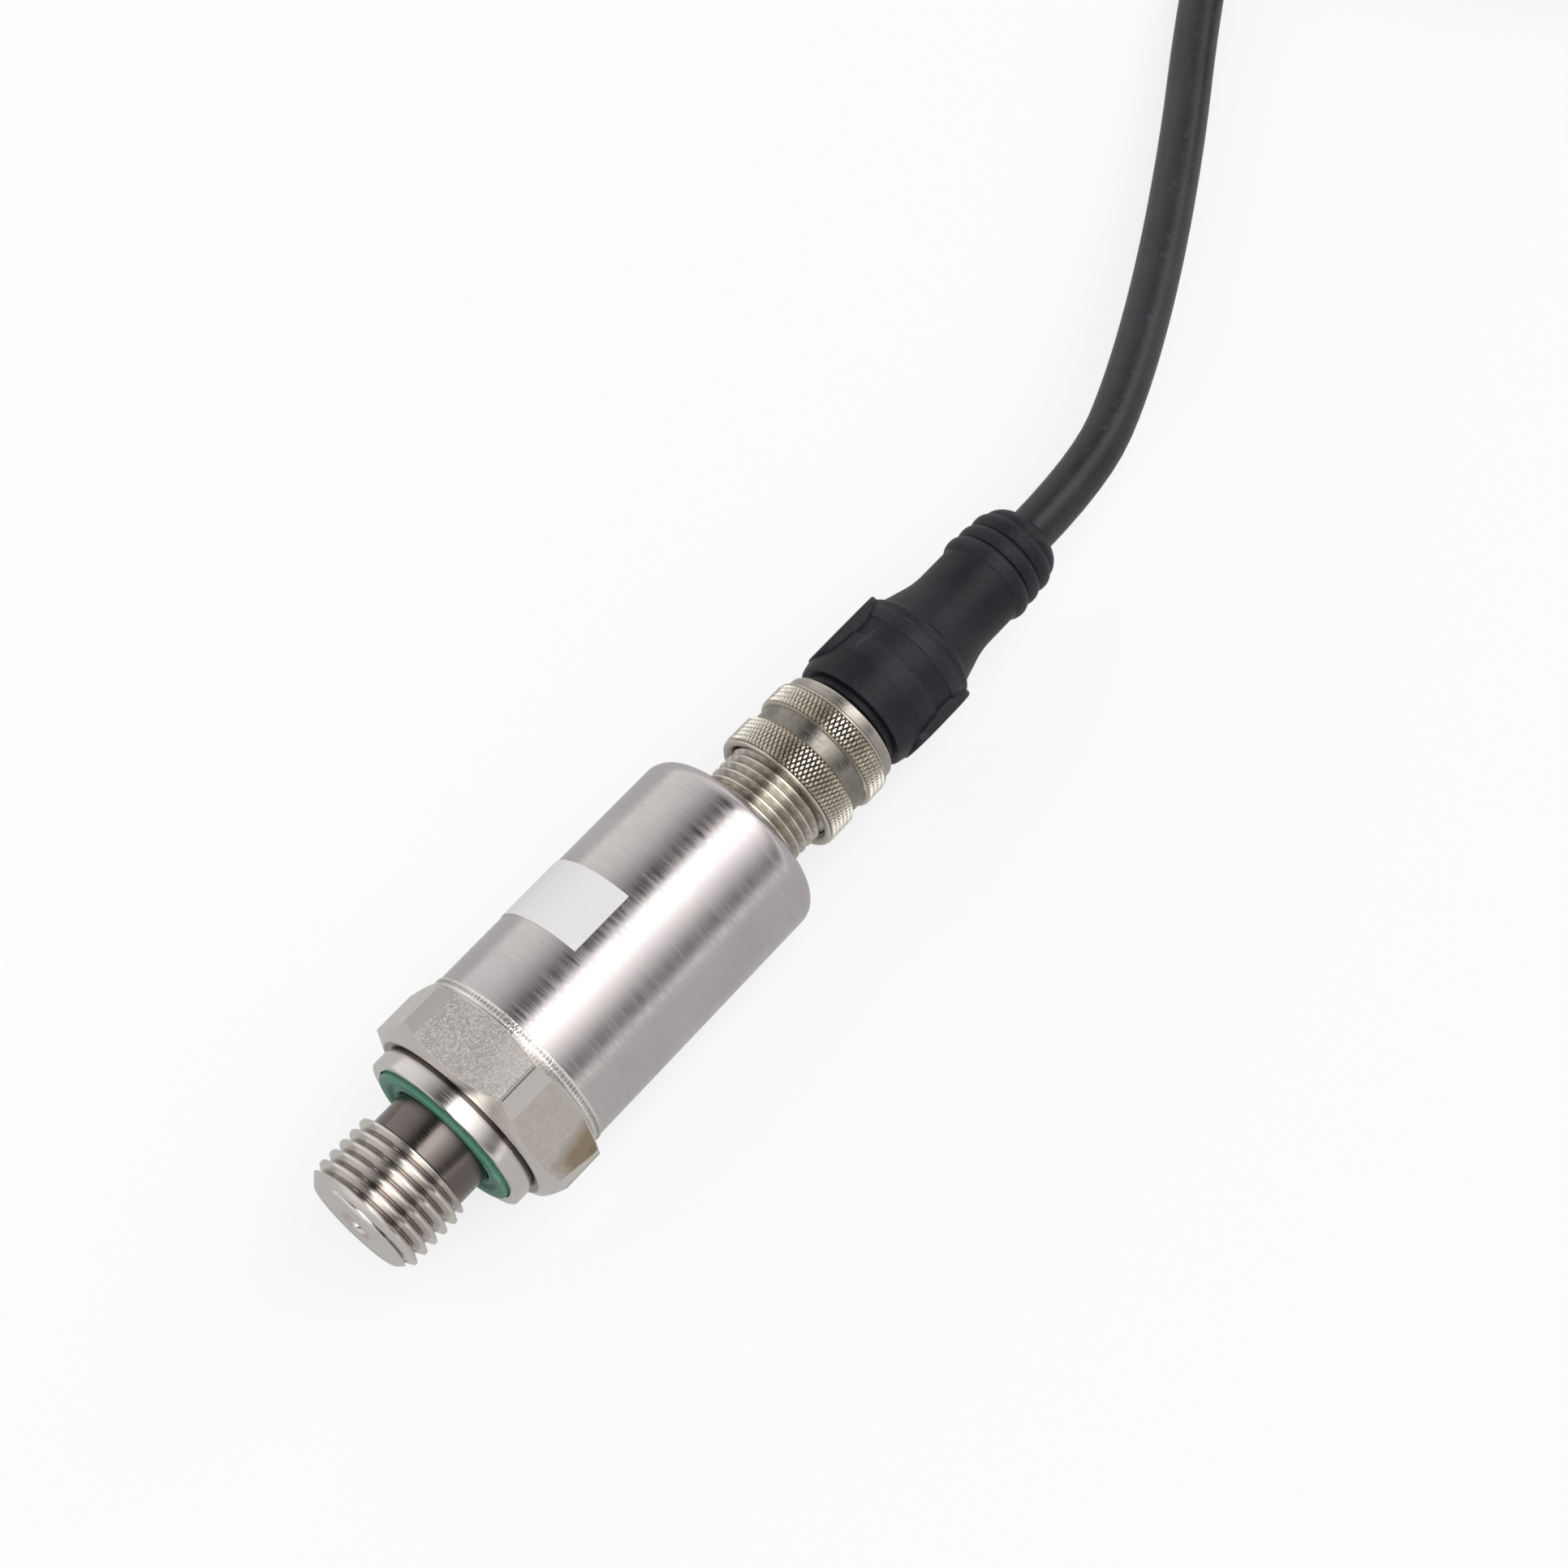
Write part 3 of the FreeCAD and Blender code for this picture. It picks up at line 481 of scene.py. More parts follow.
def knurl(start, end, rows, valley, peak):
    """Band of blunt diamonds: squares are poked, their own edges dissolved, and each diamond raised."""
    land = 0.1
    step = (end - start) / rows
    line = [(start + step * row, valley) for row in range(rows + 1)]
    piece = lathe("knurl", line, steps=KNURL_COLUMNS, closed=False)
    mesh = edit(piece)
    corners = len(mesh.verts)
    bpy.ops.mesh.poke()
    mesh = bmesh.from_edit_mesh(piece.data)
    mesh.verts.ensure_lookup_table()
    bpy.ops.mesh.select_mode(type="EDGE")
    bpy.ops.mesh.select_all(action="DESELECT")
    for edge in mesh.edges:
        own = max(vertex.index for vertex in edge.verts) < corners
        edge.select = own and not edge.is_boundary
    bpy.ops.mesh.dissolve_edges(use_verts=False)
    bpy.ops.mesh.select_mode(type="FACE")
    select_whole()
    bpy.ops.mesh.normals_make_consistent(inside=False)
    bpy.ops.mesh.inset(thickness=land * MM, depth=(peak - valley) * MM, use_individual=True)
    leave()
    return piece


def coupling_nut(finish):
    """Knurled nut: an open shell and a plain groove, closed by two knurled bands."""
    valley = NUT_R - 0.27
    rim, lip = NUT_R - 0.05, NUT_R - 0.1
    groove, groove_run, groove_round = 6.75, 0.2, 0.08
    first = (NUT_X + 0.35, NUT_X + 3.6)
    second = (NUT_X + 6.0, NUT_X + 8.4)
    tail_r, tail_end_r, tail_round = 6.82, 6.7, 0.25
    back_r, neck_r, shoulder = 6.2, 5.1, NUT_END - 1.8
    thread_r, mouth_r, mouth_run = 6.05, 6.55, 0.6
    tiny, small, edge, soft = 0.03, 0.04, 0.05, 0.1
    shell = lathe("knurled_nut", [
        (second[1], valley),
        (second[1] + 0.12, rim, small),
        (second[1] + 0.25, lip, small),
        (second[1] + 0.45, tail_r, edge),
        (NUT_END - tail_round, tail_end_r, tail_round, 4),
        (NUT_END, back_r, soft),
        (NUT_END, neck_r, edge),
        (shoulder, neck_r),
        (shoulder, thread_r),
        (NUT_X + mouth_run, thread_r, soft),
        (NUT_X, mouth_r, edge),
        (NUT_X, NUT_R - 0.3, soft),
        (NUT_X + 0.25, rim, edge),
        (first[0], valley),
    ], steps=KNURL_COLUMNS, closed=False)
    middle = lathe("nut_groove", [
        (first[1], valley),
        (first[1] + edge, lip, tiny),
        (first[1] + groove_run, groove, groove_round),
        (second[0] - groove_run, groove, groove_round),
        (second[0] - edge, lip, tiny),
        (second[0], valley),
    ], steps=KNURL_COLUMNS, closed=False)
    bands = [
        knurl(*first, rows=3, valley=valley, peak=NUT_R),
        knurl(*second, rows=2, valley=valley, peak=NUT_R),
    ]
    join(shell, [middle] + bands)
    smooth(shell, degrees=25)
    return settle(shell, "nut", finish, ["coupling_nut"])


# ------------ cable socket
BODY_X, BODY_END = span("connector_body")
GRIP_X = BODY_X + 0.7
GRIP_R = 6.95
PAD_TURN = 24.0


def grip_pad(turn):
    """Flat oval pad, pulled out of a circle whose halves are drawn apart."""
    deselect()
    length, width, height, root = 9.6, 7.0, 7.05, 5.0
    start = GRIP_X + 1.3
    edge_round = 0.25
    bpy.ops.mesh.primitive_circle_add(vertices=48, radius=width / 2 * MM, fill_type="NGON",
                                      rotation=(-math.pi / 2, 0, 0))
    pad = bpy.context.object
    bpy.ops.object.transform_apply()
    mesh = edit(pad, False)
    pick_points(mesh, lambda co: co.x > SAME_PLACE)
    move(((length - width) * MM, 0, 0))
    select_whole()
    move(((start + width / 2) * MM, root * MM, 0))
    bpy.ops.mesh.extrude_region_move(TRANSFORM_OT_translate={"value": (0, (height - root) * MM, 0)})
    leave()
    clean(pad)
    modify(pad, "BEVEL", width=edge_round * MM, segments=3, limit_method="ANGLE")
    edit(pad)
    bpy.ops.transform.rotate(value=-math.radians(turn), orient_axis="X", center_override=(0, 0, 0))
    move((FACE, 0, AXIS))
    leave()
    return pad


def connector_body(finish):
    """Moulded grip: front groove, swelling with a sunk band and two pads, taper, and three ribs."""
    x, r = GRIP_X, GRIP_R
    front_r, stem_r, back_x = 5.75, 4.95, x + 5.2
    bulge, band = r - 0.08, r - 0.2
    taper_r, neck = r - 0.85, 4.87
    rib_x, rib_pitch, rib_r, rib_draft = x + 20.65, 1.95, 5.3, 0.15
    root_draft, root_run, rib_edge, rib_round = 0.12, 0.12, 0.1, 0.35
    end_run, end_r, mouth_r = 1.3, 4.55, 3.7
    edge, soft, bend, wide = BROKEN, 0.08, 0.12, 0.3
    outline = [
        (BODY_X, stem_r),
        (BODY_X, front_r, edge),
        (x, front_r),
        (x, r - rib_round, wide, 4),
        (x + 1.2, bulge, wide, 3),
        (x + 3.1, bulge, edge),
        (x + 3.3, r, edge),
        (x + 5.5, r, soft),
        (x + 5.65, band, edge),
        (x + 7.85, band, edge),
        (x + 8.0, r, soft),
        (x + 9.4, r, soft),
        (x + 9.6, band, edge),
        (x + 10.45, band, bend, 3),
        (x + 10.85, taper_r, wide, 3),
        (x + 15.25, neck, 1.2, 5),
    ]
    for rib in range(3):
        start = rib_x + rib_pitch * rib
        peak = rib_r - rib_draft * rib
        root = neck - root_draft * rib
        outline += [
            (start - root_run, root, rib_edge),
            (start, peak - 0.25, rib_edge),
            (start + 0.4, peak, rib_round, 4),
            (start + 1.3, peak, rib_round, 4),
            (start + 1.7, peak - 0.3, rib_edge),
            (start + rib_pitch - root_run, root - root_draft, rib_edge),
        ]
    outline += [
        (BODY_END - end_run, end_r, wide),
        (BODY_END, mouth_r, 0.9, 6),
        (BODY_END, 0),
        (back_x, 0),
        (back_x, stem_r),
    ]
    piece = lathe("moulded_grip", outline, steps=ROUND_STEPS)
    for turn in (PAD_TURN, PAD_TURN + 180):
        combine(piece, grip_pad(turn), "UNION")
    smooth(piece, degrees=40)
    return settle(piece, "connector", finish, ["connector_body"])


# ------------ cable
CABLE_D = 5.2
EXIT_X = FACE / MM + BODY_END
# the cable's way from the socket to where it is wound up, in millimetres
LAID = [
    (EXIT_X, 0.0, 11.0),
    (EXIT_X + 10.7, 0.0, 11.0),
    (103.6, 4.2, 10.0),
    (119.1, 12.0, 7.9),
    (136.6, 22.2, 5.6),
    (150.6, 31.2, 4.4),
    (165.5, 40.0, 3.7),
    (181.0, 45.4, 3.45),
    (195.5, 45.4, 3.45),
]
ENTRY_RUN = 18.0
FOLD_R = 15.6
PITCH = 5.3                  # from turn to turn across, and from layer to layer
LAYER = 5.2
COLUMNS = 3
STRAIGHT = 44.0
WIDEST = FOLD_R + PITCH * (COLUMNS - 1)
WOUND_START = Vector(LAID[-1]) + Vector((ENTRY_RUN, 0, 0))
NEAR_END = Vector((WOUND_START.x, WOUND_START.y - WIDEST, 0))
FAR_END = NEAR_END + Vector((STRAIGHT, 0, 0))
FIRST_SHIFT = 20.0           # degrees round the near end where the last turn starts to climb
SHIFT_LAG = 15.0             # degrees by which each turn before it starts later
SHIFT = 85.0                 # degrees that a turn takes to its next place
ARC_POINTS = 9
STRAIGHT_POINTS = 3
# the last of it on top of the turns, from where the winding started
ON_TOP = [(12, -1.4, 10.6), (22, -3.0, 10.6), (31, -4.44, 10.6), (40, -7.0, 10.6)]


def turn_places():
    """Radius and height of each turn at the near end: inwards on the table, then outwards on top."""
    inwards = [WIDEST - PITCH * column for column in range(COLUMNS)]
    low = LAID[-1][2]
    places = [(radius, low) for radius in inwards]
    places += [(radius, low + LAYER) for radius in reversed(inwards)]
    return places + [(WIDEST, low + ON_TOP[0][2])]


def shifted(turn, degrees):
    """Share of a turn's way over to its next place, on its way round the near end."""
    last = 2 * COLUMNS - 1
    part = (degrees - FIRST_SHIFT - SHIFT_LAG * (last - turn)) / SHIFT
    part = min(max(part, 0), 1)
    return part * part * (3 - 2 * part)


def wound_points():
    """Control points of the turns, clockwise from the start of the far straight stretch."""
    points = []
    step = math.pi / ARC_POINTS
    outwards = 1 / math.cos(step / 2)
    runs = [STRAIGHT * (number + 1) / (STRAIGHT_POINTS + 1) for number in range(STRAIGHT_POINTS)]
    places = turn_places()
    for turn, (radius, height) in enumerate(places[:-1]):
        points += [NEAR_END + Vector((run, radius, height)) for run in runs]
        for number in range(ARC_POINTS):
            a = math.pi / 2 - step * (number + 0.5)
            out = radius * outwards
            points.append(FAR_END + Vector((out * math.cos(a), out * math.sin(a), height)))
        points += [FAR_END + Vector((-run, -radius, height)) for run in runs]
        for number in range(ARC_POINTS):
            done = step * (number + 0.5)
            share = shifted(turn, math.degrees(done))
            out = (radius + (places[turn + 1][0] - radius) * share) * outwards
            rise = (places[turn + 1][1] - height) * share
            a = -math.pi / 2 - done
            points.append(NEAR_END + Vector((out * math.cos(a), out * math.sin(a), height + rise)))
    return points


def line(name, points, diameter, resolution=6, sides=6):
    """Round cord along one smooth open line through the table of its points, in millimetres."""
    curve = bpy.data.curves.new(name, "CURVE")
    curve.dimensions = "3D"
    curve.bevel_depth = diameter / 2 * MM
    curve.bevel_resolution = sides
    curve.use_fill_caps = True
    spline = curve.splines.new("NURBS")
    spline.points.add(len(points) - 1)
    for spot, point in zip(spline.points, points):
        spot.co = (*(Vector(point) * MM), 1)
    spline.order_u = 3
    spline.use_endpoint_u = True
    spline.resolution_u = resolution
    piece = bpy.data.objects.new(name, curve)
    bpy.context.scene.collection.objects.link(piece)
    return piece


def cable(finish):
    """The whole cable, from the socket through its turns to the stripped end."""
    halfway = Vector(LAID[-1]) + Vector((ENTRY_RUN / 2, 0, 0))
    points = [Vector(point) for point in LAID] + [halfway] + wound_points()
    points += [WOUND_START + Vector(point) for point in ON_TOP]
    piece = line("connection_cable", points, CABLE_D)
    settle(piece, "connector", finish, ["cable", "cable_coil", "cable_tail"])
    return piece


TIE_T = 0.6
TIE_W = 2.6
TIE_GAP = 0.15
SKIN = 0.1


def cable_tie(name, finish, share, side, node):
    """Strap drawn tight round the turns, with its head on top and its end pulled through."""
    reach = CABLE_D / 2 + SKIN + TIE_GAP
    low = LAID[-1][2] - reach
    high = LAID[-1][2] + LAYER + reach
    inner = FOLD_R - reach
    outer = WIDEST + reach
    middle = (inner + outer) / 2
    bend, bend_steps = reach * 0.6, 5
    overlap = 0.02
    head_size, head_round = (4.2, 4.2, 2.4), 0.3
    end_size, end_round = (8.6, TIE_W - 0.2, TIE_T), 0.12
    end_x, end_lift = 4.3, 1.5

    def spot(across, height):
        return Vector((across, -TIE_W / 2, height)) * MM
    strap = draw(name, [
        (middle, high),
        (inner, high, bend, bend_steps),
        (inner, low, bend, bend_steps),
        (outer, low, bend, bend_steps),
        (outer, high, bend, bend_steps),
        (middle + overlap, high),
    ], False, spot)
    select_whole()
    bpy.ops.mesh.extrude_edges_move(TRANSFORM_OT_translate={"value": (0, TIE_W * MM, 0)})
    leave()
    clean(strap)
    modify(strap, "SOLIDIFY", thickness=TIE_T * MM, offset=1, use_even_offset=True)
    top = high + TIE_T
    head = box_piece("tie_head", head_size, (middle, 0, top + head_size[2] / 2), head_round)
    end = box_piece("tie_end", end_size, (middle + end_x, 0, top + end_lift), end_round)
    piece = join(strap, [head, end])
    edit(piece)
    bpy.ops.transform.rotate(value=-math.radians(side), orient_axis="Z", center_override=(0, 0, 0))
    move((NEAR_END + Vector((share * STRAIGHT, 0, 0))) * MM)
    leave()
    smooth(piece, degrees=40)
    return settle(piece, "connector", finish, [node])


def box_piece(name, size, centre, bevel):
    """Block with rounded edges."""
    deselect()
    bpy.ops.mesh.primitive_cube_add(size=MM)
    piece = bpy.context.object
    piece.name = name
    edit(piece)
    bpy.ops.transform.resize(value=size)
    move(Vector(centre) * MM)
    leave()
    modify(piece, "BEVEL", width=bevel * MM, segments=2, limit_method="ANGLE")
    return piece


CORE_D = 1.3
CORE_L = 17.0
CORE_PITCH = 1.35
CORE_FAN = 2.6
CORE_DROP = 0.7
CORE_REST = 0.45             # between a core's end and the turn below it
CORE_GAP = 0.1
FERRULE_D = 1.0
FERRULE_L = 6.0
FERRULE_FLARE = 0.35
CORES = ("brown", "white", "blue", "black")


def core_line(number):
    """Ends of one of the four cores that fan out of the cable's stripped end."""
    last = WOUND_START + Vector(ON_TOP[-1])
    forward = (last - WOUND_START - Vector(ON_TOP[-2])).normalized()
    sideways = Vector((-forward.y, forward.x, 0))
    off_middle = number - (len(CORES) - 1) / 2
    start = last + forward * CORE_GAP + sideways * off_middle * CORE_PITCH - Vector((0, 0, CORE_DROP))
    end = last + forward * CORE_L + sideways * off_middle * CORE_FAN
    end.z = LAID[-1][2] + LAYER + CABLE_D / 2 + SKIN + CORE_REST + CORE_D / 2
    return start, end


def cores(finishes, tin):
    """Insulated cores, each with a flared crimp tube on its bare end."""
    for number, colour in enumerate(CORES):
        start, end = core_line(number)
        way = [start, (start + end) / 2, end]
        core = line("core_" + colour + "_wire", way, CORE_D, resolution=2, sides=3)
        settle(core, "connector", finishes[colour], ["core_" + colour])
    tubes = []
    for number in range(len(CORES)):
        start, end = core_line(number)
        forward = (end - start).normalized()
        deselect()
        bpy.ops.mesh.primitive_circle_add(vertices=16, radius=FERRULE_D / 2 * MM, fill_type="NGON")
        tube = bpy.context.object
        edit(tube)
        bpy.ops.mesh.extrude_region_move(TRANSFORM_OT_translate={"value": (0, 0, FERRULE_L * MM)})
        mesh = bmesh.from_edit_mesh(tube.data)
        pick_points(mesh, lambda co: co.z < MM)
        bpy.ops.transform.resize(value=(1 + FERRULE_FLARE, 1 + FERRULE_FLARE, 1))
        leave()
        tube.rotation_mode = "QUATERNION"
        tube.rotation_quaternion = forward.to_track_quat("Z", "Y")
        tube.location = end * MM
        take(tube)
        bpy.ops.object.transform_apply()
        tubes.append(tube)
    piece = join(tubes[0], tubes[1:])
    piece.name = "crimp_tubes"
    smooth(piece)
    return settle(piece, "connector", tin, ["core_ferrules"])


# ------------ material tools
def put(tree, kind, settings=None, **values):
    """Adds a node, sets its options, and fills its inputs with numbers, colours or links."""
    made = tree.nodes.new("ShaderNode" + kind)
    for option, value in (settings or {}).items():
        setattr(made, option, value)
    for name, value in values.items():
        feed(made.inputs[name.replace("_", " ")], value)
    return made


def feed(socket, value):
    if isinstance(value, bpy.types.NodeSocket):
        socket.id_data.links.new(value, socket)
    elif isinstance(value, tuple) and len(value) == 3 and socket.type == "RGBA":
        socket.default_value = (*value, 1)
    else:
        socket.default_value = value


def calc(operation, *values):
    """One arithmetic step."""
    tree = next(value.id_data for value in values if isinstance(value, bpy.types.NodeSocket))
    made = put(tree, "Math", {"operation": operation})
    for socket, value in zip(made.inputs, values):
        feed(socket, value)
    return made.outputs[0]


def plus(first, second):
    return calc("ADD", first, second)


def minus(first, second):
    return calc("SUBTRACT", first, second)


def times(first, second):
    return calc("MULTIPLY", first, second)


def larger(first, second):
    return calc("MAXIMUM", first, second)


def spread(value, low, high, to_low=0.0, to_high=1.0):
    """Maps a range of values to another, without going past its ends."""
    made = put(value.id_data, "MapRange", Value=value)
    for name, end in (("From Min", low), ("From Max", high), ("To Min", to_low), ("To Max", to_high)):
        feed(made.inputs[name], end)
    return made.outputs[0]


def between(mask, low, high):
    """Goes from the low number to the high one as the mask goes from 0 to 1."""
    return spread(mask, 0.0, 1.0, low, high)


def tint(mask, first, second):
    """Goes from the first colour to the second as the mask goes from 0 to 1."""
    made = put(mask.id_data, "Mix", {"data_type": "RGBA"})
    for socket, value in ((made.inputs[0], mask), (made.inputs[6], first), (made.inputs[7], second)):
        feed(socket, value)
    return made.outputs[2]


def shade(colour, share):
    """The colour made darker or lighter by a share."""
    return tuple(part * share for part in colour)


def effect(name, inputs, outputs):
    """Empty shader node group with named number inputs and outputs."""
    tree = bpy.data.node_groups.new(name, "ShaderNodeTree")
    for title, value in inputs.items():
        socket = tree.interface.new_socket(title, in_out="INPUT", socket_type="NodeSocketFloat")
        socket.default_value = value
    for title in outputs:
        tree.interface.new_socket(title, in_out="OUTPUT", socket_type="NodeSocketFloat")
    return tree, tree.nodes.new("NodeGroupInput").outputs, tree.nodes.new("NodeGroupOutput").inputs


def use(tree, group, **values):
    """Places an effect in a tree, with its own numbers."""
    return put(tree, "Group", {"node_tree": group}, **values).outputs


def centred(tree, turn=0.0):
    """Object coordinates in millimetres from the axis and the sealing face, turned round the axis."""
    turned = (math.radians(turn), 0, 0)
    made = put(tree, "Mapping", {"vector_type": "TEXTURE"}, Location=(FACE, 0, AXIS), Rotation=turned)
    made.inputs["Scale"].default_value = (MM, MM, MM)
    feed(made.inputs["Vector"], put(tree, "TexCoord").outputs["Object"])
    return made.outputs[0]


def places(tree, turn=0.0):
    """The centred coordinates one by one."""
    return put(tree, "SeparateXYZ", Vector=centred(tree, turn)).outputs


def noise(vector, scale, detail=3.0, roughness=0.5):
    made = put(vector.id_data, "TexNoise", Vector=vector, Scale=scale, Detail=detail, Roughness=roughness)
    return made.outputs[0]


# ------------ shared effects
NOISE_SPAN = (0.3, 0.7)            # the range that soft noise is stretched from
NARROW_SPAN = (0.35, 0.65)         # the same for noise with more detail
NO_EDGE = 0.5                      # pointiness of a face that is flat all round
EDGE_MARGIN = 0.005
FLATS_OVER = HOUSING_R + 0.25      # only the hexagon's flats are farther from the axis


def make_grain():
    """Fine uneven grain, and a broad cloudiness."""
    tree, given, out = effect("grain", {"Size": 0.2, "Cloud Size": 6.0}, ("Grain", "Cloud"))
    here = centred(tree)
    fine = noise(here, calc("DIVIDE", 1.0, given["Size"]), detail=2.0)
    broad = noise(here, calc("DIVIDE", 1.0, given["Cloud Size"]), roughness=0.6)
    feed(out["Grain"], spread(fine, *NOISE_SPAN))
    feed(out["Cloud"], spread(broad, *NARROW_SPAN))
    return tree


def make_turning():
    """Lines left round the axis by turning or brushing: even ones, and broken ones of unlike length."""
    given_names = {"Lines Per Millimetre": 6.0, "Breaks": 1.5}
    tree, given, out = effect("turning_lines", given_names, ("Lines", "Streaks"))
    parts = places(tree)
    squares = [calc("POWER", parts[axis], 2.0) for axis in ("Y", "Z")]
    far = calc("SQRT", plus(*squares))
    along = times(plus(parts["X"], far), given["Lines Per Millimetre"])
    round_y = times(calc("DIVIDE", parts["Y"], far), given["Breaks"])
    round_z = times(calc("DIVIDE", parts["Z"], far), given["Breaks"])
    lines = noise(put(tree, "CombineXYZ", X=along).outputs[0], 1.0, detail=2.0)
    where = put(tree, "CombineXYZ", X=along, Y=round_y, Z=round_z).outputs[0]
    streaks = noise(where, 1.0, detail=4.0, roughness=0.65)
    feed(out["Lines"], spread(lines, *NOISE_SPAN))
    feed(out["Streaks"], spread(streaks, *NARROW_SPAN))
    return tree


def make_edges():
    """Rubbed edges, broken up a little, also used as painted highlights on the weld's crests, and painted
    shade in the hollows beside them.
    """
    tree, given, out = effect("edges", {"Reach": 0.05, "Break Up": 0.3}, ("Wear And Highlight", "Hollow Shade"))
    sharp = put(tree, "NewGeometry").outputs["Pointiness"]
    uneven = minus(noise(centred(tree), scale=1.7), 0.5)
    near = plus(sharp, times(times(uneven, given["Break Up"]), given["Reach"]))
    # the convex side takes rubbed wear, and on the weld a painted highlight; the concave side takes painted
    # shade
    worn, hollow = NO_EDGE + EDGE_MARGIN, NO_EDGE - EDGE_MARGIN
    feed(out["Wear And Highlight"], spread(near, worn, plus(worn, given["Reach"])))
    feed(out["Hollow Shade"], spread(near, hollow, minus(hollow, given["Reach"])))
    return tree


def make_panel():
    """A band on one flat of the hexagon, between two lines along it."""
    blur = 0.08
    given_names = {"From": -5.0, "To": 5.0, "Across": 0.0, "Height": 0.0}
    tree, given, out = effect("flat_panel", given_names, ("Inside",))
    above = calc("GREATER_THAN", given["Height"], FLATS_OVER)
    first = spread(given["Across"], minus(given["From"], blur), given["From"])
    last = spread(given["Across"], plus(given["To"], blur), given["To"])
    feed(out["Inside"], times(above, times(first, last)))
    return tree


GRAIN = make_grain()
TURNING = make_turning()
EDGES = make_edges()
PANEL = make_panel()


# ------------ materials
# colours; a pair goes from a surface's darker places to its paler ones
BAR = ((0.59, 0.55, 0.52), (0.67, 0.63, 0.60))
# painted shade: the threaded stud is painted darker and browner than the rest of the bar
STUD_SHADE = ((0.44, 0.395, 0.36), (0.54, 0.49, 0.45))
FLATS = (0.80, 0.77, 0.74)
SATIN = ((0.335, 0.257, 0.18), (0.41, 0.33, 0.232))
# blasted panel: dark grit with bright specks that are painted glints
BLASTED_AND_GLINTS = ((0.085, 0.08, 0.072), (0.80, 0.77, 0.73))
BAR_WORN = (0.73, 0.69, 0.65)
# painted shade in the turned bar's hollows
BAR_HOLLOW_SHADE = (0.13, 0.11, 0.10)
TUBE = ((0.60, 0.555, 0.56), (0.66, 0.62, 0.61))
TUBE_STREAKS = (0.48, 0.44, 0.44)
BEAD = ((0.34, 0.31, 0.28), (0.66, 0.63, 0.60))
# weld: painted shade in the ripples' hollows, and painted highlights on their crests
BEAD_HOLLOW_SHADE = (0.10, 0.085, 0.075)
BEAD_CREST_HIGHLIGHT = (0.95, 0.93, 0.90)
NICKEL_WORN = (0.72, 0.685, 0.61)
JACKET = ((0.012, 0.012, 0.015), (0.020, 0.020, 0.024))
JACKET_SCUFFS = (0.075, 0.078, 0.09)
FOIL = ((0.55, 0.53, 0.535), (0.63, 0.61, 0.615))
FOIL_FIBRE = (0.40, 0.38, 0.39)
FOIL_WORN = (0.80, 0.79, 0.79)
LAMINATE = ((0.004, 0.070, 0.030), (0.006, 0.095, 0.042))
COPPER_PATHS = (0.020, 0.17, 0.075)
# nickel plate: its colour
NICKEL = {
    "sleeve_nickel": (0.58, 0.545, 0.475),
    "nut_nickel": (0.46, 0.425, 0.37),
}
# small plated pieces: colour and roughness
PLATED = {
    "gold_plate": ((0.86, 0.60, 0.22), 0.22),
    "tinned_copper": ((0.70, 0.69, 0.66), 0.28),
    "zinc_plate": ((0.62, 0.60, 0.52), 0.3),
}
# moulded and fired pieces: colour, colour where rubbed, roughness, grain and relief in millimetres
MOULDED = {
    "black_plastic": ((0.016, 0.016, 0.018), (0.05, 0.05, 0.055), 0.42, 0.2, 0.01),
    "black_rubber": ((0.010, 0.010, 0.011), (0.03, 0.03, 0.03), 0.6, 0.1, 0.01),
    "green_rubber": ((0.030, 0.150, 0.098), (0.16, 0.40, 0.29), 0.45, 0.15, 0.008),
    "grip_plastic": ((0.0065, 0.0055, 0.0095), (0.045, 0.043, 0.055), 0.42, 0.16, 0.02),
    "holder_plastic": ((0.52, 0.50, 0.44), (0.72, 0.70, 0.64), 0.45, 0.2, 0.01),
    "alumina": ((0.78, 0.76, 0.72), (0.86, 0.85, 0.82), 0.5, 0.08, 0.006),
    "tan_ceramic": ((0.33, 0.22, 0.12), (0.45, 0.33, 0.2), 0.4, 0.1, 0.005),
    "tie_nylon": ((0.014, 0.014, 0.016), (0.06, 0.06, 0.065), 0.38, 0.3, 0.008),
}
CORE_COLOURS = {
    "brown": (0.12, 0.045, 0.018),
    "white": (0.78, 0.77, 0.74),
    "blue": (0.02, 0.09, 0.42),
    "black": (0.012, 0.012, 0.013),
}


def shader_of(material):
    return material.node_tree.nodes["Principled BSDF"]


def new_finish(name, rough, metallic=0.0, **constants):
    """A new material and its tree, with the shader's own numbers set."""
    material = bpy.data.materials.new(name)
    material.use_nodes = True
    for socket, value in {"Roughness": rough, "Metallic": metallic, **constants}.items():
        feed(shader_of(material).inputs[socket.replace("_", " ")], value)
    return material, material.node_tree


def cover(material, colour, rough, height, depth, strength=1.0):
    """Gives the material its colour, its roughness, and relief of a depth in millimetres."""
    shader = shader_of(material)
    feed(shader.inputs["Base Color"], colour)
    feed(shader.inputs["Roughness"], rough)
    bump = put(material.node_tree, "Bump", Height=height, Distance=depth * MM, Strength=strength)
    feed(shader.inputs["Normal"], bump.outputs[0])
    return material


def panel(tree, turn, start, end):
    """1 between two lines on the flat of the hexagon that lies so many degrees from the top."""
    parts = places(tree, turn)
    return use(tree, PANEL, From=start, To=end, Across=parts["Y"], Height=parts["Z"])["Inside"]


def on_flats(tree):
    """1 on the six flats of the hexagon."""
    parts = places(tree)
    sideways = times(parts["Y"], math.sin(math.pi / 3))
    upwards = times(parts["Z"], math.cos(math.pi / 3))
    rising = calc("ABSOLUTE", plus(sideways, upwards))
    falling = calc("ABSOLUTE", minus(sideways, upwards))
    upright = calc("ABSOLUTE", parts["Z"])
    return calc("GREATER_THAN", larger(upright, larger(rising, falling)), FLATS_OVER)


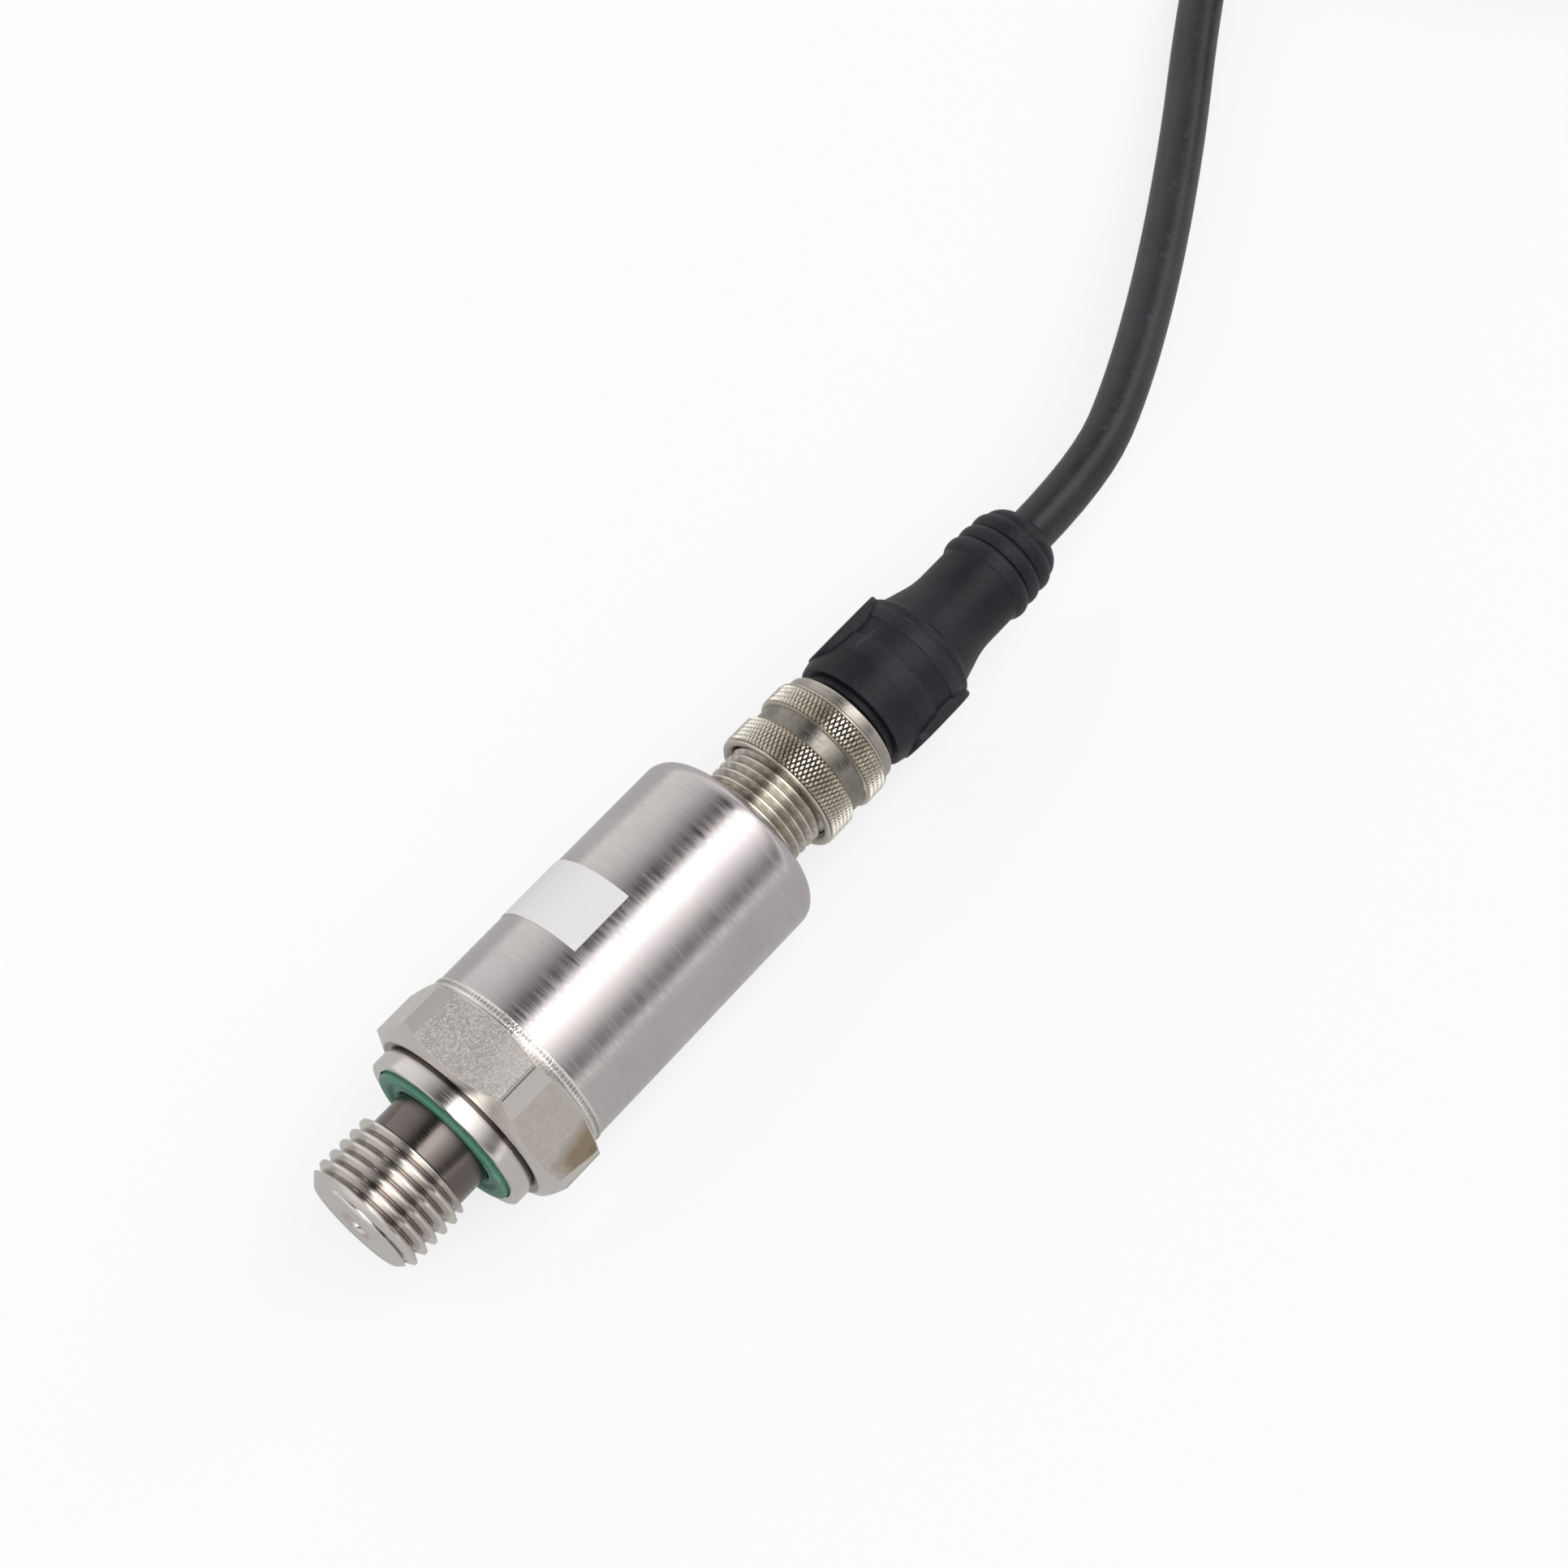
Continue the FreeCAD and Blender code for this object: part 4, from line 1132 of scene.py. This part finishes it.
def turned_steel():
    """Turned bar: bright lines round it, a blasted panel on the top flat with painted glints, and a satin
    one beside it; the stud is painted darker as painted shade, and the hollows carry painted shade.
    """
    stud_from, stud_to = -0.6, 0.0
    flat_rough, blasted_rough = 0.40, 0.46
    hollow_shade_share, line_share = 0.85, 0.2
    material, tree = new_finish("turned_steel", rough=0.2, metallic=1.0)
    lines = use(tree, TURNING, Lines_Per_Millimetre=5.0, Breaks=0.8)
    edges = use(tree, EDGES, Reach=0.02, Break_Up=0.5)
    grain = use(tree, GRAIN, Size=0.16, Cloud_Size=5.0)
    flats = on_flats(tree)
    # painted shade: the bar is painted darker from just before the sealing face out to the stud's end
    stud_shade = spread(places(tree)["X"], stud_to, stud_from)
    blasted = panel(tree, turn=0, start=-5.8, end=4.6)
    satin = panel(tree, turn=60, start=-6.4, end=3.9)
    colour = tint(grain["Cloud"], *BAR)
    colour = tint(stud_shade, colour, tint(lines["Streaks"], *STUD_SHADE))
    colour = tint(flats, colour, FLATS)
    colour = tint(satin, colour, tint(grain["Grain"], *SATIN))
    # painted glints: bright specks in the blasted panel's colour; the same specks also raise its grit as
    # bumps
    grit_and_glints = spread(noise(centred(tree), scale=7.5, detail=1.0), low=0.50, high=0.64)
    colour = tint(blasted, colour, tint(grit_and_glints, *BLASTED_AND_GLINTS))
    colour = tint(edges["Wear And Highlight"], colour, BAR_WORN)
    # painted shade in the hollows beside the edges
    colour = tint(times(edges["Hollow Shade"], hollow_shade_share), colour, BAR_HOLLOW_SHADE)
    rough = between(lines["Streaks"], 0.12, 0.28)
    rough = larger(rough, times(flats, flat_rough))
    rough = larger(rough, times(blasted, blasted_rough))
    lined = times(minus(1.0, flats), lines["Lines"])
    height = plus(times(lined, line_share), times(blasted, grit_and_glints))
    return cover(material, colour, rough, height, depth=0.03)


def housing_steel():
    """Drawn tube, brushed round: satin, with streaks of unlike length."""
    streak_share = 0.35
    material, tree = new_finish("housing_steel", rough=0.24, metallic=1.0, Anisotropic=0.5)
    round_axis = put(tree, "Tangent", {"direction_type": "RADIAL", "axis": "X"})
    feed(shader_of(material).inputs["Tangent"], round_axis.outputs[0])
    fine = use(tree, TURNING, Lines_Per_Millimetre=9.0, Breaks=2.2)["Streaks"]
    coarse = use(tree, TURNING, Lines_Per_Millimetre=2.2, Breaks=0.7)["Streaks"]
    cloud = use(tree, GRAIN, Size=0.3, Cloud_Size=9.0)["Cloud"]
    colour = tint(cloud, *TUBE)
    colour = tint(times(fine, streak_share), colour, TUBE_STREAKS)
    mixed = plus(times(fine, 0.5), times(coarse, 0.5))
    return cover(material, colour, between(mixed, 0.13, 0.31), mixed, depth=0.012, strength=0.7)


def weld_metal():
    """Welded bead: light ticks of painted highlight on the crests and dark ticks of painted shade in the
    hollows, with a trace of straw and grey scale.
    """
    material, tree = new_finish("weld_metal", rough=0.3, metallic=1.0)
    grain = use(tree, GRAIN, Size=0.25, Cloud_Size=1.6)
    edges = use(tree, EDGES, Reach=0.02, Break_Up=0.8)
    colour = tint(grain["Grain"], *BEAD)
    # painted shade in the hollows between ripples, then painted highlights on their crests
    colour = tint(edges["Hollow Shade"], colour, BEAD_HOLLOW_SHADE)
    colour = tint(edges["Wear And Highlight"], colour, BEAD_CREST_HIGHLIGHT)
    return cover(material, colour, between(grain["Cloud"], 0.2, 0.42), grain["Grain"], depth=0.03)


def nickel(name):
    """Nickel plate on brass: warm grey, with painted shade in the hollows, rubbed yellowish bright on the
    edges.
    """
    warm = NICKEL[name]
    cloudy, hollow_shade_level = 0.88, 0.3
    material, tree = new_finish(name, rough=0.25, metallic=1.0)
    edges = use(tree, EDGES, Reach=0.035, Break_Up=0.6)
    grain = use(tree, GRAIN, Size=0.12, Cloud_Size=3.0)
    lines = use(tree, TURNING, Lines_Per_Millimetre=7.0, Breaks=0.5)
    colour = tint(grain["Cloud"], warm, shade(warm, cloudy))
    # painted shade in the hollows
    colour = tint(edges["Hollow Shade"], colour, shade(warm, hollow_shade_level))
    colour = tint(edges["Wear And Highlight"], colour, NICKEL_WORN)
    rough = between(lines["Streaks"], 0.18, 0.34)
    return cover(material, colour, rough, plus(lines["Lines"], grain["Grain"]), depth=0.006)


def moulded(name, base, rubbed, rough, grain_size, depth, **constants):
    """Moulded plastic or rubber: faint cloudiness, a fine grain, and paler rubbed edges."""
    cloud_share, worn_share = 0.2, 0.55
    smoother, rougher = 0.06, 0.08
    cloudy = tuple((1 - cloud_share) * b + cloud_share * r for b, r in zip(base, rubbed))
    material, tree = new_finish(name, rough, **constants)
    grain = use(tree, GRAIN, Size=grain_size, Cloud_Size=8.0)
    edges = use(tree, EDGES, Reach=0.06, Break_Up=0.8)
    colour = tint(grain["Cloud"], base, cloudy)
    colour = tint(times(edges["Wear And Highlight"], worn_share), colour, rubbed)
    rough = between(grain["Grain"], rough - smoother, rough + rougher)
    return cover(material, colour, rough, grain["Grain"], depth)


def jacket_plastic():
    """Cable jacket: matt black with long greyish scuffs."""
    scuff_share = 0.6
    material, tree = new_finish("cable_jacket", rough=0.42, Specular_IOR_Level=0.45)
    grain = use(tree, GRAIN, Size=0.18, Cloud_Size=7.0)
    worn = noise(centred(tree), scale=0.55, detail=6.0, roughness=0.72)
    scuffs = spread(worn, low=0.56, high=0.72)
    colour = tint(grain["Cloud"], *JACKET)
    colour = tint(times(scuffs, scuff_share), colour, JACKET_SCUFFS)
    return cover(material, colour, between(scuffs, 0.36, 0.6), grain["Grain"], depth=0.015)


def label_foil():
    """Pale satin foil with a faint fibre and a little handling wear."""
    fibre_share = 0.12
    material, tree = new_finish("label_foil", rough=0.4)
    grain = use(tree, GRAIN, Size=0.09, Cloud_Size=4.0)
    edges = use(tree, EDGES, Reach=0.05, Break_Up=0.4)
    colour = tint(grain["Cloud"], *FOIL)
    colour = tint(times(grain["Grain"], fibre_share), colour, FOIL_FIBRE)
    colour = tint(edges["Wear And Highlight"], colour, FOIL_WORN)
    return cover(material, colour, between(grain["Cloud"], 0.34, 0.5), grain["Grain"], depth=0.004)


def circuit_glass():
    """Green board laminate: a weave under lacquer, with paler copper paths along it."""
    rough = 0.3
    weave_waves, path_waves = 12.0, 5.2     # radians for each millimetre
    weave_share = 0.2
    material, tree = new_finish("board_laminate", rough, Coat_Weight=0.4)
    parts = places(tree)
    warp = calc("SINE", times(parts["X"], weave_waves))
    weft = calc("SINE", times(parts["Y"], weave_waves))
    weave = spread(times(warp, weft), -1.0, 1.0)
    paths = spread(calc("SINE", times(parts["Y"], path_waves)), low=0.75, high=0.85)
    colour = tint(paths, tint(weave, *LAMINATE), COPPER_PATHS)
    return cover(material, colour, rough, plus(times(weave, weave_share), paths), depth=0.02)


def plated(name, colour, rough):
    """Small plated metal piece."""
    cloudy, smoother, rougher = 0.8, 0.05, 0.08
    material, tree = new_finish(name, rough, metallic=1.0)
    grain = use(tree, GRAIN, Size=0.1, Cloud_Size=1.5)
    clouded = tint(grain["Cloud"], colour, shade(colour, cloudy))
    rough = between(grain["Grain"], rough - smoother, rough + rougher)
    return cover(material, clouded, rough, grain["Grain"], depth=0.003)


def core_insulation(colour, base):
    """Insulation in one of the four colours, a little paler where it is rubbed."""
    paler, lift = 1.4, 0.02
    rubbed = tuple(min(1, part * paler + lift) for part in base)
    return moulded(colour + "_insulation", base, rubbed, rough=0.35, grain_size=0.15, depth=0.004)


# ------------ the pieces
finishes = {name: plated(name, *row) for name, row in PLATED.items()}
for name, row in MOULDED.items():
    shine = {"Specular_IOR_Level": 0.3} if name == "grip_plastic" else {}
    finishes[name] = moulded(name, *row, **shine)
finishes["board_laminate"] = circuit_glass()
insulation = {colour: core_insulation(colour, base) for colour, base in CORE_COLOURS.items()}
NODE_FINISHES = {
    "alumina": ["ceramic_cell"],
    "black_rubber": ["cell_seal", "plug_seal", "socket_seal"],
    "zinc_plate": ["clamp_ring"],
    "tinned_copper": ["cell_leads", "plug_leads"],
    "board_laminate": ["circuit_board"],
    "holder_plastic": ["board_holder"],
    "black_plastic": ["amplifier_chip", "output_chip", "chip_resistors", "plug_insert", "socket_insert"],
    "tan_ceramic": ["chip_capacitors"],
    "gold_plate": [part + "_" + str(pin) for part in ("plug_pin", "socket_contact") for pin in range(1, 5)],
}
for name, nodes in NODE_FINISHES.items():
    for node in nodes:
        for material_slot in bpy.data.objects[node].material_slots:
            material_slot.material = finishes[name]

process_connection(turned_steel())
seal_ring(finishes["green_rubber"])
weld_seam(weld_metal())
housing(housing_steel())
label(label_foil())
plug_sleeve(nickel("sleeve_nickel"))
coupling_nut(nickel("nut_nickel"))
connector_body(finishes["grip_plastic"])
flex = cable(jacket_plastic())
cores(insulation, finishes["tinned_copper"])
TIE_PLACES = ((0.5, 270), (1, 0))      # share of the straight stretch, and degrees round it
for number, (share, side) in enumerate(TIE_PLACES, start=1):
    strap, nodes = "cable_tie_strap_" + str(number), "cable_tie_" + str(number)
    cable_tie(strap, finishes["tie_nylon"], share, side, nodes)
tuple(c * MM for c in LAID[0])

# ------------ stage and camera
FLOOR_SIZE = 60
PAPER = (0.94, 0.94, 0.94)
PAPER_ROUGH = 0.9
GLOW_SHARE = 0.75            # of the floor's look that is its own light, where it is seen
REFLECTED_LESS = 0.5         # how much darker that light is in reflections
# the studio round the object: brightness by the angle from straight up, towards +Y where positive
STUDIO = [
    (-100, 0.22),
    (-80, 0.14),
    (-64, 0.26),
    (-48, 0.85),
    (-34, 1.50),
    (-22, 2.40),
    (-6, 2.60),
    (-2, 0.30),
    (2, 0.04),
    (14, 0.07),
    (26, 0.42),
    (40, 0.72),
    (58, 0.88),
    (100, 0.95),
]
WALL = (0.24, 0.10)          # the white wall starts below the first height and is full at the second
LENS = 71.44
SENSOR = 36
CAMERA_RIGHT = Vector((0.65927709, -0.74948504, -0.06021535))
CAMERA_UP = Vector((0.67780171, 0.55773089, 0.47908361))
CAMERA_BACK = Vector((-0.32548204, -0.35666291, 0.87570144))
CAMERA_PLACE = Vector((-58.244, -110.983, 283.765))


def lay_floor():
    """Plain paper, as white to the camera as the wall behind it."""
    deselect()
    bpy.ops.mesh.primitive_plane_add(size=FLOOR_SIZE)
    floor = bpy.context.object
    floor.name = "floor"
    paper = bpy.data.materials.new("white_floor")
    paper.use_nodes = True
    tree = paper.node_tree
    shaded = tree.nodes["Principled BSDF"]
    feed(shaded.inputs["Base Color"], PAPER)
    feed(shaded.inputs["Roughness"], PAPER_ROUGH)
    rays = put(tree, "LightPath").outputs
    mirrored = rays["Is Glossy Ray"]
    seen = larger(rays["Is Camera Ray"], larger(mirrored, rays["Is Transmission Ray"]))
    dimmed = minus(1.0, times(mirrored, REFLECTED_LESS))
    glow = put(tree, "Emission", Color=(1.0, 1.0, 1.0), Strength=dimmed)
    blend = put(tree, "MixShader")
    for socket, value in zip(blend.inputs, (times(seen, GLOW_SHARE), shaded.outputs[0], glow.outputs[0])):
        feed(socket, value)
    feed(tree.nodes["Material Output"].inputs["Surface"], blend.outputs[0])
    floor.data.materials.append(paper)


def light_studio():
    """Soft light that changes only across the object, and a white wall low all round."""
    world = bpy.data.worlds.new("studio")
    bpy.context.scene.world = world
    world.use_nodes = True
    tree = world.node_tree
    sky = put(tree, "TexCoord").outputs["Generated"]
    towards = put(tree, "SeparateXYZ", Vector=sky).outputs
    angle = calc("ARCTAN2", towards["Y"], towards["Z"])
    first, last = STUDIO[0][0], STUDIO[-1][0]
    full = max(level for _, level in STUDIO)
    ramp = put(tree, "ValToRGB", Fac=spread(angle, math.radians(first), math.radians(last)))
    stops = ramp.color_ramp.elements
    for number, (degrees, level) in enumerate(STUDIO):
        at = (degrees - first) / (last - first)
        stop = stops[0] if number == 0 else stops[-1] if number == len(STUDIO) - 1 else stops.new(at)
        stop.position = at
        stop.color = (*shade((1, 1, 1), level / full), 1)
    wall = spread(towards["Z"], *WALL)
    background = tree.nodes["Background"].inputs
    feed(background["Color"], tint(wall, ramp.outputs[0], shade((1, 1, 1), 1 / full)))
    background["Strength"].default_value = full


def aim_camera():
    optics = bpy.data.cameras.new("camera")
    optics.lens = LENS
    optics.sensor_width = SENSOR
    camera = bpy.data.objects.new("camera", optics)
    turned = Matrix((CAMERA_RIGHT, CAMERA_UP, CAMERA_BACK)).transposed().to_4x4()
    camera.matrix_world = Matrix.Translation(CAMERA_PLACE * MM) @ turned
    bpy.context.scene.collection.objects.link(camera)
    bpy.context.scene.camera = camera
    bpy.context.scene.view_settings.view_transform = "Standard"


lay_floor()
light_studio()
aim_camera()
